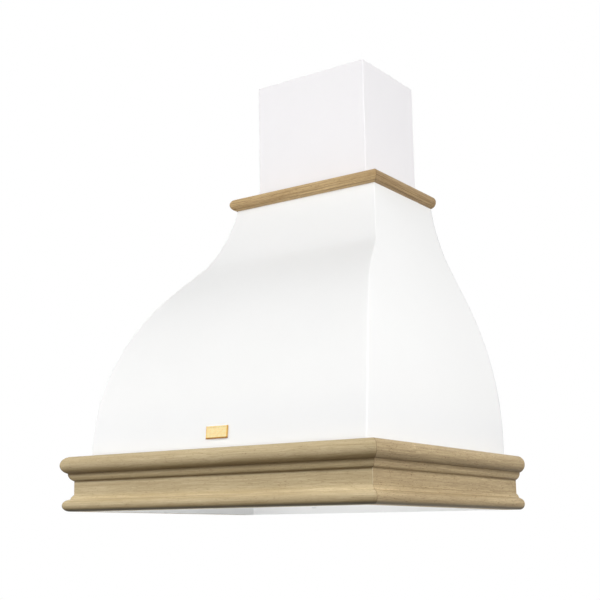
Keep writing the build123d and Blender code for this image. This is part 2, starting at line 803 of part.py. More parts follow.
def control_panel():
    half_x, half_d = panel_width / 2 - seat_gap, panel_depth / 2 - seat_gap
    low = plate_z - panel_flange_thickness
    rim_x, rim_d = panel_width / 2 + panel_flange, panel_depth / 2 + panel_flange
    body = block(-rim_x, rim_x, panel_d - rim_d, panel_d + rim_d, low, plate_z)
    body = fillet(body.edges().filter_by(Axis.Z), panel_flange)
    body = body + block(-half_x, half_x, panel_d - half_d, panel_d + half_d, plate_z, plate_z + panel_body)
    for x in key_xs:
        body = body - block(x - key_width / 2, x + key_width / 2, panel_d - key_depth / 2,
                            panel_d + key_depth / 2, low, plate_z + panel_body)
    save("control_panel", body)


def key_levels():
    """Height of the key's face, of its lip's underside and of the lip's top."""
    face = plate_z - panel_flange_thickness - key_stand
    lip_low = plate_z + panel_body + seat_gap
    return face, lip_low, lip_low + key_lip


def key(x):
    face, lip_low, lip_high = key_levels()
    half_x, half_d = key_width / 2 - seat_gap, key_depth / 2 - seat_gap
    cap = block(x - half_x, x + half_x, panel_d - half_d, panel_d + half_d, face, lip_low)
    cap = fillet(cap.edges().filter_by(Axis.Z) + cap.faces().sort_by(Axis.Z)[0].edges(), 1.2)
    edge = block(x - key_width / 2 - 1, x + key_width / 2 + 1, panel_d - key_depth / 2 - 1,
                 panel_d + key_depth / 2 + 1, lip_low, lip_high)
    return cap + edge + rod(at(x, panel_d, lip_high), UP, key_stem_r, key_stem)


def switch_block():
    lip_high = key_levels()[2]
    low = lip_high + key_travel + switch_room
    half_x = panel_width / 2 + panel_flange + switch_foot
    half_d = panel_depth / 2 - 1
    body = block(-half_x, half_x, panel_d - half_d, panel_d + half_d, low, low + switch_height)
    foot = block(half_x - switch_foot, half_x, panel_d - half_d, panel_d + half_d, plate_top, low)
    body = body + foot + mirrored(foot)
    depth = key_stem + key_travel + 1
    for x in key_xs:
        body = body - rod(at(x, panel_d, low), UP, key_stem_r + seat_gap, depth)
    save("switch_block", body)


def controls():
    control_panel()
    switch_block()
    names = ("button_light", "button_off", "button_speed_1", "button_speed_2", "button_speed_3")
    for name, x in zip(names, key_xs):
        save(name, key(x))


# ---- blower

def axle_depth():
    """The outlet is centred under the collar, between the cut-off and the rear wall of the scroll."""
    cut_off = scroll_r_first * cos(radians(scroll_cut_off))
    return collar_d + (scroll_r_last - cut_off) / 2


def scroll_outline(inset):
    """Spiral from the cut-off forward and round below to the rear, then the straight outlet."""
    axle = axle_depth()
    count = 12
    points = []
    for i in range(count + 1):
        turn = radians(scroll_cut_off - scroll_sweep * i / count)
        radius = scroll_r_first + (scroll_r_last - scroll_r_first) * i / count - inset
        points.append((axle + radius * cos(turn), axle_z + radius * sin(turn)))
    spiral = Spline(*points, tangents=[(sin(radians(scroll_cut_off)), -cos(radians(scroll_cut_off))),
                                       (0, 1)])
    top = canopy_top - sheet
    walls = Polyline(points[-1], (points[-1][0], top), (points[0][0] - 2 * inset, top), points[0])
    return make_face(Wire([spiral] + list(walls.edges())))


def across(face, half_x):
    """Side-view area run across the hood, as wide on the left as on the right."""
    plane = Plane(origin=at(0, 0, 0), x_dir=OUT, z_dir=LEFT)
    return extrude(plane * face, half_x, both=True)


def spider_screws():
    """Seats on the motor bracket's feet, driven into the scroll's right cheek."""
    seats = []
    for i in range(3):
        turn = radians(90 + 120 * i)
        d = axle_depth() + (inlet_r + spider_lap / 2) * cos(turn)
        z = axle_z + (inlet_r + spider_lap / 2) * sin(turn)
        seats.append((at(scroll_width / 2 + spider_thickness, d, z), LEFT))
    return seats


def blower_housing():
    half = scroll_width / 2
    outlet_rear = axle_depth() - scroll_r_last
    outlet_front = axle_depth() + scroll_r_first * cos(radians(scroll_cut_off))
    top = canopy_top - sheet
    body = across(scroll_outline(0), half)
    rim = outlet_flange
    body = body + block(-half - rim, half + rim, outlet_rear - rim, outlet_front + rim,
                        top - scroll_wall, top)
    hollow = across(scroll_outline(scroll_wall), half - scroll_wall)
    body = body - hollow
    hub = at(-half, axle_depth(), axle_z)
    body = body - rod(hub, RIGHT, inlet_r, scroll_width)
    lip_ring = tube(hub, RIGHT, inlet_r + inlet_sheet, inlet_r, inlet_lip)
    body = body + lip_ring + mirrored(lip_ring)
    body = body - holes(collar_screws(), screw_r + pilot_gap, collar_flange + sheet + scroll_wall)
    body = body - holes(spider_screws(), screw_r + pilot_gap, spider_thickness + scroll_wall)
    # The flange makes room for the gland's lock nut.
    body = body - rod(at(gland_x, gland_d, top), DOWN, gland_hex_r + seat_gap, axle_drop / 4)
    save("blower_housing_right", body & block(0, far, 0, far, 0, far))
    save("blower_housing_left", body & block(-far, 0, 0, far, 0, far))


def impeller():
    """Double inlet wheel: a middle disc, two end rings and forward-curved blades."""
    half = wheel_width / 2
    depth, z = axle_depth(), axle_z
    plane = Plane(origin=at(0, depth, z), x_dir=OUT, z_dir=LEFT)
    middle_r = (wheel_r + blade_root_r) / 2
    root, tip = blade_root_r + 0.5, wheel_r - 0.5
    mean = ThreePointArc((root, 0), (middle_r, 2.5), (tip, 8))
    profile = make_face(offset(mean, blade_thickness, side=Side.LEFT, closed=True))
    blade = extrude(plane * profile, half - wheel_disc / 2, both=True)
    axis = Axis(at(0, depth, z), RIGHT)
    blades = [blade.rotate(axis, 360.0 * i / blade_count) for i in range(blade_count)]
    wheel = rod(at(-wheel_disc / 2, depth, z), RIGHT, wheel_r, wheel_disc)
    wheel = wheel + rod(at(-wheel_boss, depth, z), RIGHT, wheel_boss_r, wheel_boss + wheel_disc)
    ring = tube(at(half - wheel_disc, depth, z), RIGHT, wheel_r, blade_root_r, wheel_disc)
    wheel = wheel + ring + mirrored(ring) + blades
    save("impeller", wheel - rod(at(-half, depth, z), RIGHT, shaft_r, wheel_width))


def motor():
    depth, z = axle_depth(), axle_z
    half = scroll_width / 2
    tail = at(-shaft_tail, depth, z)
    length = shaft_tail + motor_start_x + shaft_in_motor
    save("motor_shaft", rod(tail, RIGHT, shaft_r, length))
    nut = Plane(origin=at(-wheel_boss - nut_thickness, depth, z), z_dir=RIGHT) * RegularPolygon(nut_r, 6)
    save("impeller_nut", extrude(nut, nut_thickness) - rod(tail, RIGHT, shaft_r, length))
    body = rod(at(motor_start_x, depth, z), RIGHT, motor_r, half - motor_start_x)
    body = fillet(body.edges().filter_by(GeomType.CIRCLE), 4)
    bore = rod(at(motor_start_x, depth, z), RIGHT, shaft_r + running_gap, shaft_in_motor + 1)
    save("motor", body - bore)


def motor_bracket():
    depth, z = axle_depth(), axle_z
    face = at(scroll_width / 2, depth, z)
    body = rod(face, RIGHT, motor_r - 8, spider_thickness)
    arm = block(face.X, face.X + spider_thickness, depth - spider_arm / 2, depth + spider_arm / 2,
                z, z + spider_r)
    axis = Axis(face, RIGHT)
    body = body + [arm.rotate(axis, 120.0 * i) for i in range(3)]
    body = body - holes(spider_screws(), screw_r + screw_gap, spider_thickness)
    save("motor_bracket", body)
    bite = [screw(seat, way, spider_thickness + scroll_wall) for seat, way in spider_screws()]
    save("motor_screws", side_by_side(bite))


def outlet_collar():
    """Spigot for the duct, with a ledge that the two flaps lie on and bearings for their pins."""
    base = at(0, collar_d, canopy_top)
    body = tube(base, UP, collar_r, collar_r - collar_wall, collar_height)
    body = body + tube(base, UP, collar_r + collar_rim, collar_r - collar_wall, collar_flange)
    ledge_z = canopy_top + flap_height - flap_thickness / 2 - seat_gap - 2
    ledge = tube(at(0, collar_d, ledge_z), UP, collar_r - collar_wall, collar_r - collar_wall - flap_ledge, 2)
    body = body + ledge
    for offset_d in (-flap_pin_offset, flap_pin_offset):
        start = at(-collar_r, collar_d + offset_d, canopy_top + flap_height)
        body = body - rod(start, RIGHT, flap_pin_r + running_gap, 2 * collar_r)
    body = body - holes(collar_screws(), screw_r + screw_gap, collar_flange)
    save("outlet_collar", body)
    bite = [screw(seat, way, collar_flange + sheet + scroll_wall) for seat, way in collar_screws()]
    save("collar_screws", side_by_side(bite))


def flap(side):
    """Half disc with a knuckle round its pin; side is +1 in front of the middle and -1 behind."""
    z = canopy_top + flap_height
    disc_r = collar_r - collar_wall - flap_rim_gap
    disc = rod(at(0, collar_d, z - flap_thickness / 2), UP, disc_r, flap_thickness)
    start = flap_pin_offset + flap_pin_r + 0.2
    near, beyond = collar_d + side * start, collar_d + side * far
    disc = disc & block(-far, far, min(near, beyond), max(near, beyond), 0, far)
    pin_d = collar_d + side * flap_pin_offset
    bore_r = flap_pin_r + running_gap
    knuckle = rod(at(-knuckle_half, pin_d, z), RIGHT, bore_r + knuckle_wall, 2 * knuckle_half)
    return disc + knuckle - rod(at(-collar_r, pin_d, z), RIGHT, bore_r, 2 * collar_r)


def flaps():
    save("flap_front", flap(1))
    save("flap_rear", flap(-1))
    pin_half = collar_r - 0.5
    pins = [rod(at(-pin_half, collar_d + offset_d, canopy_top + flap_height), RIGHT, flap_pin_r, 2 * pin_half)
            for offset_d in (-flap_pin_offset, flap_pin_offset)]
    save("flap_pins", side_by_side(pins))


# ---- control box

def control_box():
    box_x, box_z = box_inset - inner_x, plate_top + box_rise
    x0, x1 = box_x - box_width / 2, box_x + box_width / 2
    z0, z1 = box_z - box_height / 2, box_z + box_height / 2
    w = box_wall
    body = block(x0, x1, sheet, sheet + box_depth, z0, z1)
    body = body - block(x0 + w, x1 - w, sheet + w, sheet + box_depth, z0 + w, z1 - w)
    save("control_box", body + board_pillars(x0, x1, z0, z1))
    save("control_box_lid", block(x0, x1, sheet + box_depth, sheet + box_depth + w, z0, z1))
    board_d = sheet + w + board_stand
    save("circuit_board", block(x0 + w + 2, x1 - w - 2, board_d, board_d + board_thickness,
                                z0 + w + 2, z1 - w - 2))
    seat_d = board_d + board_thickness + capacitor_r
    can = rod(at(box_x - capacitor_length / 2, seat_d, box_z), RIGHT, capacitor_r, capacitor_length)
    save("capacitor", fillet(can.edges().filter_by(GeomType.CIRCLE), 1.5))


def board_pillars(x0, x1, z0, z1):
    inset = box_wall + 7
    corners = [(x, z) for x in (x0 + inset, x1 - inset) for z in (z0 + inset, z1 - inset)]
    return [rod(at(x, sheet + box_wall, z), OUT, 3, board_stand) for x, z in corners]


def cable_gland():
    """Gland for the supply lead, in the neck plate beside the collar."""
    seat = at(gland_x, gland_d, canopy_top)
    nut = extrude(Plane(origin=seat, z_dir=UP) * RegularPolygon(gland_hex_r, 6), gland_hex)
    nut_below = extrude(Plane(origin=seat - UP * sheet, z_dir=DOWN) * RegularPolygon(gland_hex_r, 6), 3)
    body = nut + nut_below + rod(seat - UP * (sheet + 6), UP, gland_r, sheet + 6 + gland_hex + 4)
    save("cable_gland", body - rod(seat - UP * (sheet + 6), UP, gland_r / 2, sheet + 15 + gland_hex))


os.makedirs("parts", exist_ok=True)
cornice()
canopy()
badge()
moulding()
chimney()
inner_sleeve()
chimney_bracket()
base_plate()
filters()
lamps()
controls()
blower_housing()
impeller()
motor()
motor_bracket()
outlet_collar()
flaps()
control_box()
cable_gland()
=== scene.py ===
from math import atan, cos, pi, radians, sin, sqrt

import bpy
from mathutils import Matrix, Vector


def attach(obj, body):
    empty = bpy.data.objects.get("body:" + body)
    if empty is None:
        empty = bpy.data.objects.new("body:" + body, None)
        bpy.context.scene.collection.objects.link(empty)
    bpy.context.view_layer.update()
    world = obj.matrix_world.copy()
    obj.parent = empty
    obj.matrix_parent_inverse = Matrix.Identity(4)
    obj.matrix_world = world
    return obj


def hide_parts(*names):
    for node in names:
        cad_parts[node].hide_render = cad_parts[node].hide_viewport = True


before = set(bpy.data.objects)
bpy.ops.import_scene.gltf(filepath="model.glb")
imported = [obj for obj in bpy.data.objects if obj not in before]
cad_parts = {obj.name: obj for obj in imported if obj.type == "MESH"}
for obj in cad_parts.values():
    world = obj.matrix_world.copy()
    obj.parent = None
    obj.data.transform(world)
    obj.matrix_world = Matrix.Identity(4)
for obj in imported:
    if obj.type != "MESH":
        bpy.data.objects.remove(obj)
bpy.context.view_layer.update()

# ---- Camera
# It stands to the right of the hood and a little below its wooden edge, and looks up at it.
# The hood sits to the right of the camera's axis and above it, so the lens is shifted a little.
camera = bpy.data.objects.new("camera", bpy.data.cameras.new("camera"))
bpy.context.scene.collection.objects.link(camera)
bpy.context.scene.camera = camera
camera_place = (1.0667, -1.8500, -0.0426)
camera_turn, camera_tilt, camera_roll = radians(37.112), radians(10.278), radians(-0.329)
aim = (Matrix.Rotation(camera_turn, 4, "Z") @ Matrix.Rotation(pi / 2 + camera_tilt, 4, "X")
       @ Matrix.Rotation(camera_roll, 4, "Z"))
camera.matrix_world = Matrix.Translation(camera_place) @ aim
camera.data.sensor_width = 36.0
camera.data.lens = 68.51
camera.data.shift_x = 0.125
camera.data.shift_y = 0.05
camera.data.clip_start, camera.data.clip_end = 0.02, 60.0

# ---- Studio
# A wide floor far below the hood, white air, and square soft boxes on every side, above and below.
# The floor and the air look white to the camera, to gloss and through glass, and add little light.
bpy.context.scene.view_settings.view_transform = "Standard"
floor_drop = 2.6
bpy.ops.object.select_all(action="DESELECT")
bpy.ops.mesh.primitive_circle_add(vertices=96, radius=7.0, fill_type="NGON", location=(0, 0, -floor_drop))
floor = bpy.context.active_object
floor.name = "floor"


def white_to_the_eye(tree, strength_else):
    """A strength of 1 for camera, glossy and transmission rays, and another for the rest."""
    seen = tree.nodes.new("ShaderNodeLightPath")
    level = tree.nodes.new("ShaderNodeMapRange")
    level.inputs["To Min"].default_value = strength_else
    level.inputs["To Max"].default_value = 1.0
    last = seen.outputs["Is Camera Ray"]
    for ray in ("Is Glossy Ray", "Is Transmission Ray"):
        larger = tree.nodes.new("ShaderNodeMath")
        larger.operation = "MAXIMUM"
        tree.links.new(last, larger.inputs[0])
        tree.links.new(seen.outputs[ray], larger.inputs[1])
        last = larger.outputs[0]
    tree.links.new(last, level.inputs["Value"])
    return level.outputs["Result"]


floor_paint = bpy.data.materials.new("floor_white")
floor_paint.use_nodes = True
tree = floor_paint.node_tree
floor_shader = tree.nodes["Principled BSDF"]
floor_shader.inputs["Base Color"].default_value = (0.12, 0.12, 0.12, 1)
floor_shader.inputs["Roughness"].default_value = 0.9
floor_shader.inputs["Specular IOR Level"].default_value = 0.1
glow = tree.nodes.new("ShaderNodeEmission")
together = tree.nodes.new("ShaderNodeAddShader")
tree.links.new(white_to_the_eye(tree, 0.0), glow.inputs["Strength"])
tree.links.new(floor_shader.outputs[0], together.inputs[0])
tree.links.new(glow.outputs[0], together.inputs[1])
tree.links.new(together.outputs[0], tree.nodes["Material Output"].inputs["Surface"])
floor.data.materials.append(floor_paint)

air = bpy.data.worlds.new("studio_air")
bpy.context.scene.world = air
air.use_nodes = True
air_glow = air.node_tree.nodes["Background"]
air_glow.inputs["Color"].default_value = (1, 1, 1, 1)
air.node_tree.links.new(white_to_the_eye(air.node_tree, 0.02), air_glow.inputs["Strength"])

hood_middle = Vector((0, -0.25, 0.30))


def soft_box(name, turn, height, away, size, watts):
    """A square soft box turned to the hood: degrees from the front to the right, and degrees up."""
    lamp = bpy.data.lights.new(name, "AREA")
    lamp.size = size
    lamp.energy = watts
    holder = bpy.data.objects.new(name, lamp)
    bpy.context.scene.collection.objects.link(holder)
    turn, height = radians(turn), radians(height)
    way = Vector((sin(turn) * cos(height), -cos(turn) * cos(height), sin(height)))
    to_the_hood = (-way).to_track_quat("-Z", "Y").to_matrix().to_4x4()
    holder.matrix_world = Matrix.Translation(hood_middle + way * away) @ to_the_hood
    holder.visible_glossy = False
    holder.visible_camera = False


soft_box("soft_box_left", turn=-40, height=-5, away=2.0, size=1.0, watts=15.8)
soft_box("soft_box_front", turn=20, height=-5, away=2.0, size=1.0, watts=9.5)
soft_box("soft_box_high", turn=0, height=40, away=3.4, size=1.8, watts=63.5)
soft_box("soft_box_right", turn=80, height=-5, away=2.0, size=1.0, watts=8.1)
soft_box("soft_box_side", turn=90, height=10, away=3.4, size=1.8, watts=75.5)
soft_box("soft_box_back_left", turn=-120, height=15, away=3.0, size=1.5, watts=54)
soft_box("soft_box_back", turn=180, height=8, away=3.0, size=1.5, watts=34)
soft_box("soft_box_under", turn=0, height=-80, away=0.95, size=0.40, watts=4.5)

# ---- Painted steel canopy
# Three sheets bent to a bell, welded along their corners, ground flush and powder coated white.
# The foot is turned in to carry the base plate.  The corners keep the small round of the grinding.
skirt_half, skirt_deep = 0.2631, 0.4631
neck_half, neck_deep = 0.1445, 0.2083
skirt_foot, belly_foot, neck_top = 0.012, 0.090, 0.550
sheet, turned_in = 0.0012, 0.012
weld_round, fold_round = 0.0028, 0.0015
skirt_step, bell_step = 0.039, 0.0065
hair, near = 1e-5, 0.002  # slack where points are picked by their place


def flank(out, neck, crease_share, shoulder_share, hollow):
    """How far a flank reaches at a height, and its bends: full belly, short straight run, hollow neck."""
    foot, top = Vector((out, belly_foot)), Vector((neck, neck_top))
    run, fall = out - neck, neck_top - belly_foot
    crease = top + Vector((run * crease_share[0], -fall * crease_share[1]))
    shoulder = top + Vector((run * shoulder_share[0], -fall * shoulder_share[1]))
    straight = (shoulder - crease).normalized()
    inward = Vector((-abs(straight.y), -abs(straight.x)))
    reach = foot - shoulder
    belly_r = reach.length_squared / (2 * reach.dot(inward))
    belly = shoulder + inward * belly_r
    chord = top - crease
    hollow_r = chord.length_squared / (8 * hollow) + hollow / 2
    aside = Vector((abs(chord.y), abs(chord.x))).normalized()
    outside = (top + crease) / 2 + aside * (hollow_r - hollow)

    def reach_at(z):
        if z <= belly_foot:
            return out
        if z <= shoulder.y:
            return belly.x + sqrt(belly_r ** 2 - (z - belly.y) ** 2)
        if z <= crease.y:
            return shoulder.x + (crease.x - shoulder.x) * (z - shoulder.y) / (crease.y - shoulder.y)
        return outside.x - sqrt(hollow_r ** 2 - (z - outside.y) ** 2)

    return reach_at, [shoulder.y, crease.y]


side_reach, side_bends = flank(
    skirt_half, neck_half, crease_share=(0.247, 0.238), shoulder_share=(0.557, 0.414), hollow=0.0038)
front_reach, front_bends = flank(
    skirt_deep, neck_deep, crease_share=(0.222, 0.251), shoulder_share=(0.4345, 0.353), hollow=0.0075)


def levels_between(heights, step):
    """Heights for the rings, evenly stepped from one bend to the next."""
    levels = []
    for low, high in zip(heights, heights[1:]):
        count = max(1, round((high - low) / step))
        levels += [low + (high - low) * i / count for i in range(count)]
    return levels + [heights[-1]]


def start_piece(name, shape, **size_and_place):
    """Adds a primitive with nothing else selected, and opens it with all of it selected."""
    bpy.ops.object.select_all(action="DESELECT")
    getattr(bpy.ops.mesh, "primitive_" + shape + "_add")(**size_and_place)
    piece = bpy.context.active_object
    piece.name = piece.data.name = name
    bpy.ops.object.transform_apply(location=True, rotation=True, scale=True)
    bpy.ops.object.mode_set(mode="EDIT")
    bpy.ops.mesh.select_all(action="SELECT")
    return piece


def pick(piece, kind, test):
    """Selects only the vertices, edges or faces that pass a test on their middle (and a face's normal)."""
    bpy.ops.mesh.select_mode(type={"vertices": "VERT", "edges": "EDGE", "polygons": "FACE"}[kind])
    bpy.ops.mesh.select_all(action="DESELECT")
    bpy.ops.object.mode_set(mode="OBJECT")
    points = piece.data.vertices
    for part in getattr(piece.data, kind):
        if kind == "vertices":
            part.select = bool(test(part.co))
        elif kind == "edges":
            part.select = bool(test((points[part.vertices[0]].co + points[part.vertices[1]].co) / 2))
        else:
            part.select = bool(test(part.center, part.normal))
    bpy.ops.object.mode_set(mode="EDIT")


def resize(x, y, z, at_height=0.0):
    """Scales what is selected, about the axis of the frame and a height."""
    bpy.ops.transform.resize(value=(x, y, z), center_override=(0, 0, at_height))


def close_piece(piece, smooth_up_to=None):
    """Leaves edit mode and puts the piece's place into its mesh; smooths it up to an angle."""
    bpy.ops.object.mode_set(mode="OBJECT")
    bpy.ops.object.select_all(action="DESELECT")
    piece.select_set(True)
    bpy.context.view_layer.objects.active = piece
    bpy.ops.object.transform_apply(location=True, rotation=True, scale=True)
    if smooth_up_to is not None:
        bpy.ops.object.shade_smooth_by_angle(angle=radians(smooth_up_to))


def use_modifier(piece, kind, **settings):
    """Adds a modifier, sets it and applies it."""
    bpy.context.view_layer.objects.active = piece
    tool = piece.modifiers.new(kind.lower(), kind)
    for setting, value in settings.items():
        setattr(tool, setting, value)
    bpy.ops.object.modifier_apply(modifier=tool.name)


# The shell starts as the outline of the turned-in foot, open at the wall, and is drawn up ring by ring.
shell = start_piece("canopy_shell", "plane", size=1, location=(0, -0.5, 0))
ledge_half, ledge_deep = skirt_half - sheet - turned_in, skirt_deep - sheet - turned_in
resize(2 * ledge_half, ledge_deep, 1)
bpy.ops.transform.translate(value=(0, 0, skirt_foot))
pick(shell, "vertices", lambda p: p.y < -near)
bpy.ops.mesh.bevel(offset=weld_round, segments=6, affect="VERTICES")
bpy.ops.mesh.select_all(action="SELECT")
bpy.ops.mesh.delete(type="ONLY_FACE")
pick(shell, "edges", lambda p: p.y > -hair)
bpy.ops.mesh.delete(type="EDGE")
bpy.ops.mesh.select_all(action="SELECT")
bpy.ops.mesh.extrude_region_move()
resize(skirt_half / ledge_half, skirt_deep / ledge_deep, 1)
bends = sorted({belly_foot, neck_top, *side_bends, *front_bends})
levels = levels_between([skirt_foot, belly_foot], skirt_step)[1:] + levels_between(bends, bell_step)[1:]
ring_z = skirt_foot
for next_z in levels:
    bpy.ops.mesh.extrude_region_move(TRANSFORM_OT_translate={"value": (0, 0, next_z - ring_z)})
    wider = side_reach(next_z) / side_reach(ring_z)
    deeper = front_reach(next_z) / front_reach(ring_z)
    resize(wider, deeper, 1, at_height=next_z)
    ring_z = next_z
# The back edges stand one sheet off the wall, and the fold round the foot is rounded.
pick(shell, "vertices", lambda p: p.y > -near)
resize(1, 0, 1)
bpy.ops.transform.translate(value=(0, -sheet, 0))
pick(shell, "edges", lambda p: abs(p.z - skirt_foot) < hair
     and (abs(abs(p.x) - skirt_half) < near or p.y < -skirt_deep + near))
bpy.ops.mesh.bevel(offset=fold_round, segments=3, affect="EDGES")
bpy.ops.mesh.select_all(action="SELECT")
bpy.ops.mesh.normals_make_consistent(inside=False)
close_piece(shell)
front_face = max(shell.data.polygons, key=lambda f: abs(f.normal.y) * f.area)
if front_face.normal.y > 0:
    shell.data.flip_normals()
use_modifier(shell, "SOLIDIFY", thickness=sheet, offset=-1, use_even_offset=True, use_quality_normals=True)
bpy.ops.object.shade_smooth_by_angle(angle=radians(30))
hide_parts("canopy_front", "canopy_left", "canopy_right")
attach(shell, "hood")


def new_finish(name, colour, roughness, metal=0.0):
    """A material with a plain Principled shader, ready for its pattern."""
    finish = bpy.data.materials.new(name)
    finish.use_nodes = True
    shader = finish.node_tree.nodes["Principled BSDF"]
    shader.inputs["Base Color"].default_value = (*colour, 1)
    shader.inputs["Roughness"].default_value = roughness
    shader.inputs["Metallic"].default_value = metal
    return finish, finish.node_tree, shader


def new_effect(name, inputs, outputs):
    """A node group with named sockets, and its two end nodes."""
    effect = bpy.data.node_groups.new(name, "ShaderNodeTree")
    for label, kind in inputs.items():
        effect.interface.new_socket(label, in_out="INPUT", socket_type="NodeSocket" + kind)
    for label, kind in outputs.items():
        effect.interface.new_socket(label, in_out="OUTPUT", socket_type="NodeSocket" + kind)
    return effect, effect.nodes.new("NodeGroupInput").outputs, effect.nodes.new("NodeGroupOutput").inputs


def feed(tree, value, socket):
    """Joins an output to a socket, or writes a plain value on it."""
    if isinstance(value, bpy.types.NodeSocket):
        tree.links.new(value, socket)
    else:
        socket.default_value = value


def with_effect(tree, effect, **values):
    """Puts an effect into a material and gives back its outputs."""
    box = tree.nodes.new("ShaderNodeGroup")
    box.node_tree = effect
    for label, value in values.items():
        feed(tree, value, box.inputs[label.replace("_", " ")])
    return box.outputs


def on_piece(tree):
    """Where a point lies on the piece, in metres."""
    return tree.nodes.new("ShaderNodeTexCoord").outputs["Object"]


def axes_of(tree, place):
    """The x, y and z of a place or a direction, each on its own."""
    apart = tree.nodes.new("ShaderNodeSeparateXYZ")
    feed(tree, place, apart.inputs[0])
    return apart.outputs


def laid(tree, place, stretch=(1, 1, 1), turn=(0, 0, 0), shift=(0, 0, 0)):
    """The pattern's own place: stretched, turned and moved."""
    lay = tree.nodes.new("ShaderNodeMapping")
    lay.inputs["Scale"].default_value = stretch
    lay.inputs["Rotation"].default_value = turn
    lay.inputs["Location"].default_value = shift
    feed(tree, place, lay.inputs["Vector"])
    return lay.outputs["Vector"]


def cloud(tree, place, scale, detail, roughness=0.5):
    """A soft random value."""
    texture = tree.nodes.new("ShaderNodeTexNoise")
    texture.inputs["Scale"].default_value = scale
    texture.inputs["Detail"].default_value = detail
    texture.inputs["Roughness"].default_value = roughness
    feed(tree, place, texture.inputs["Vector"])
    return texture.outputs["Fac"]


def ranged(tree, value, low, high, to_low=0.0, to_high=1.0):
    """A value fitted smoothly from one range to another."""
    fit = tree.nodes.new("ShaderNodeMapRange")
    fit.interpolation_type = "SMOOTHSTEP"
    feed(tree, value, fit.inputs["Value"])
    for label, number in (("From Min", low), ("From Max", high), ("To Min", to_low), ("To Max", to_high)):
        feed(tree, number, fit.inputs[label])
    return fit.outputs["Result"]


def reckoned(tree, how, *numbers):
    """A sum on outputs or numbers."""
    sum_of = tree.nodes.new("ShaderNodeMath")
    sum_of.operation = how
    for place, number in enumerate(numbers):
        feed(tree, number, sum_of.inputs[place])
    return sum_of.outputs[0]


def mixed(tree, how, share, under, over):
    """Two colours mixed, or one multiplied by the other."""
    mix = tree.nodes.new("ShaderNodeMix")
    mix.data_type, mix.blend_type = "RGBA", how
    mix.clamp_factor = True
    for socket, value in ((mix.inputs[0], share), (mix.inputs[6], under), (mix.inputs[7], over)):
        feed(tree, value, socket)
    return mix.outputs[2]


def raised(tree, height, strength, depth):
    """A normal bumped by a height."""
    bump = tree.nodes.new("ShaderNodeBump")
    bump.inputs["Distance"].default_value = depth
    feed(tree, height, bump.inputs["Height"])
    feed(tree, strength, bump.inputs["Strength"])
    return bump.outputs["Normal"]


def in_one_colour(name, effect, colour, roughness, **strength):
    """A finish in one colour, from an effect that gives its colour, roughness and normal."""
    finish, tree, shader = new_finish(name, colour, roughness)
    look = with_effect(tree, effect, Place=on_piece(tree), Colour=(*colour, 1), Roughness=roughness,
                       **strength)
    for label, socket in (("Colour", "Base Color"), ("Roughness", "Roughness"), ("Normal", "Normal")):
        tree.links.new(look[label], shader.inputs[socket])
    return finish


def colour_so_far(finish):
    """A finish's tree, its shader, and the output that feeds its colour."""
    shader = finish.node_tree.nodes["Principled BSDF"]
    return finish.node_tree, shader, shader.inputs["Base Color"].links[0].from_socket


def coat(finish, *names):
    """Gives this finish to CAD nodes."""
    for name in names:
        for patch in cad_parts[name].material_slots:
            patch.material = finish


# Powder coat: a soft orange peel, a few nibs of dust, and a tone that drifts over the sheet.
powder, given, gives = new_effect(
    "powder_coat", {"Place": "Vector", "Colour": "Color", "Roughness": "Float", "Peel": "Float"},
    {"Colour": "Color", "Roughness": "Float", "Normal": "Vector"})
drift = cloud(powder, given["Place"], scale=5.0, detail=3.0)
nibs = ranged(powder, cloud(powder, given["Place"], scale=95.0, detail=1.0), 0.80, 0.86)
orange_peel = cloud(powder, given["Place"], scale=420.0, detail=1.5)
nib_height, drift_in_gloss, coat_depth = 1.5, 0.08, 0.00006
peel = reckoned(powder, "MULTIPLY_ADD", nibs, nib_height, orange_peel)
tone = ranged(powder, drift, 0.3, 0.7, 0.985, 1.0)
feed(powder, mixed(powder, "MULTIPLY", 1.0, given["Colour"], tone), gives["Colour"])
feed(powder, reckoned(powder, "MULTIPLY_ADD", drift, drift_in_gloss, given["Roughness"]), gives["Roughness"])
feed(powder, raised(powder, peel, given["Peel"], coat_depth), gives["Normal"])

canopy_white, canopy_roughness, canopy_peel = (0.875, 0.875, 0.868), 0.40, 0.30
white_paint = in_one_colour("white_powder_coat", powder, canopy_white, canopy_roughness, Peel=canopy_peel)
# Painted shade: a faint cool darkening of the white just above the wooden ledge, standing in for a contact
# shadow.
painted_shade_top, painted_shade_tint = 0.190, (0.950, 0.960, 0.980, 1)
tree, shader, clean = colour_so_far(white_paint)
painted_shade_fade = ranged(tree, axes_of(tree, on_piece(tree))["Z"], belly_foot, painted_shade_top, 1.0, 0.0)
tree.links.new(mixed(tree, "MULTIPLY", painted_shade_fade, clean, painted_shade_tint), shader.inputs["Base Color"])
shell.data.materials.append(white_paint)
coat(white_paint, "canopy_front", "canopy_left", "canopy_right")

# ---- Chimney sleeves
# Two channels bent from sheet.  The outer one is screwed to the neck, and the inner slides up in it.
# Both are powder coated in a slightly cooler, flatter white than the canopy.
sleeve_paint = in_one_colour("white_sleeve_coat", powder, (0.893, 0.878, 0.892), roughness=0.52, Peel=0.22)
coat(sleeve_paint, "chimney_lower", "chimney_upper")

# ---- Oak cornice
# Three profiled boards, mitred at the front corners and glued over splines, sanded and matt lacquered.
# Grain runs along each board: long wavy lines, short fibres and open pores; no two boards match.


def streaks(tree, place, stretch, detail, roughness=0.5, shift=(0, 0, 0)):
    """A soft random value that changes so many times a metre along x, y and z."""
    return cloud(tree, laid(tree, place, stretch, shift=shift), 1.0, detail, roughness)


def swayed(tree, place, wander, reach):
    """A place pushed aside by a random value, up to the reach."""
    push = tree.nodes.new("ShaderNodeVectorMath")
    push.operation = "MULTIPLY_ADD"
    push.inputs[1].default_value = reach
    feed(tree, wander, push.inputs[0])
    feed(tree, place, push.inputs[2])
    return push.outputs[0]


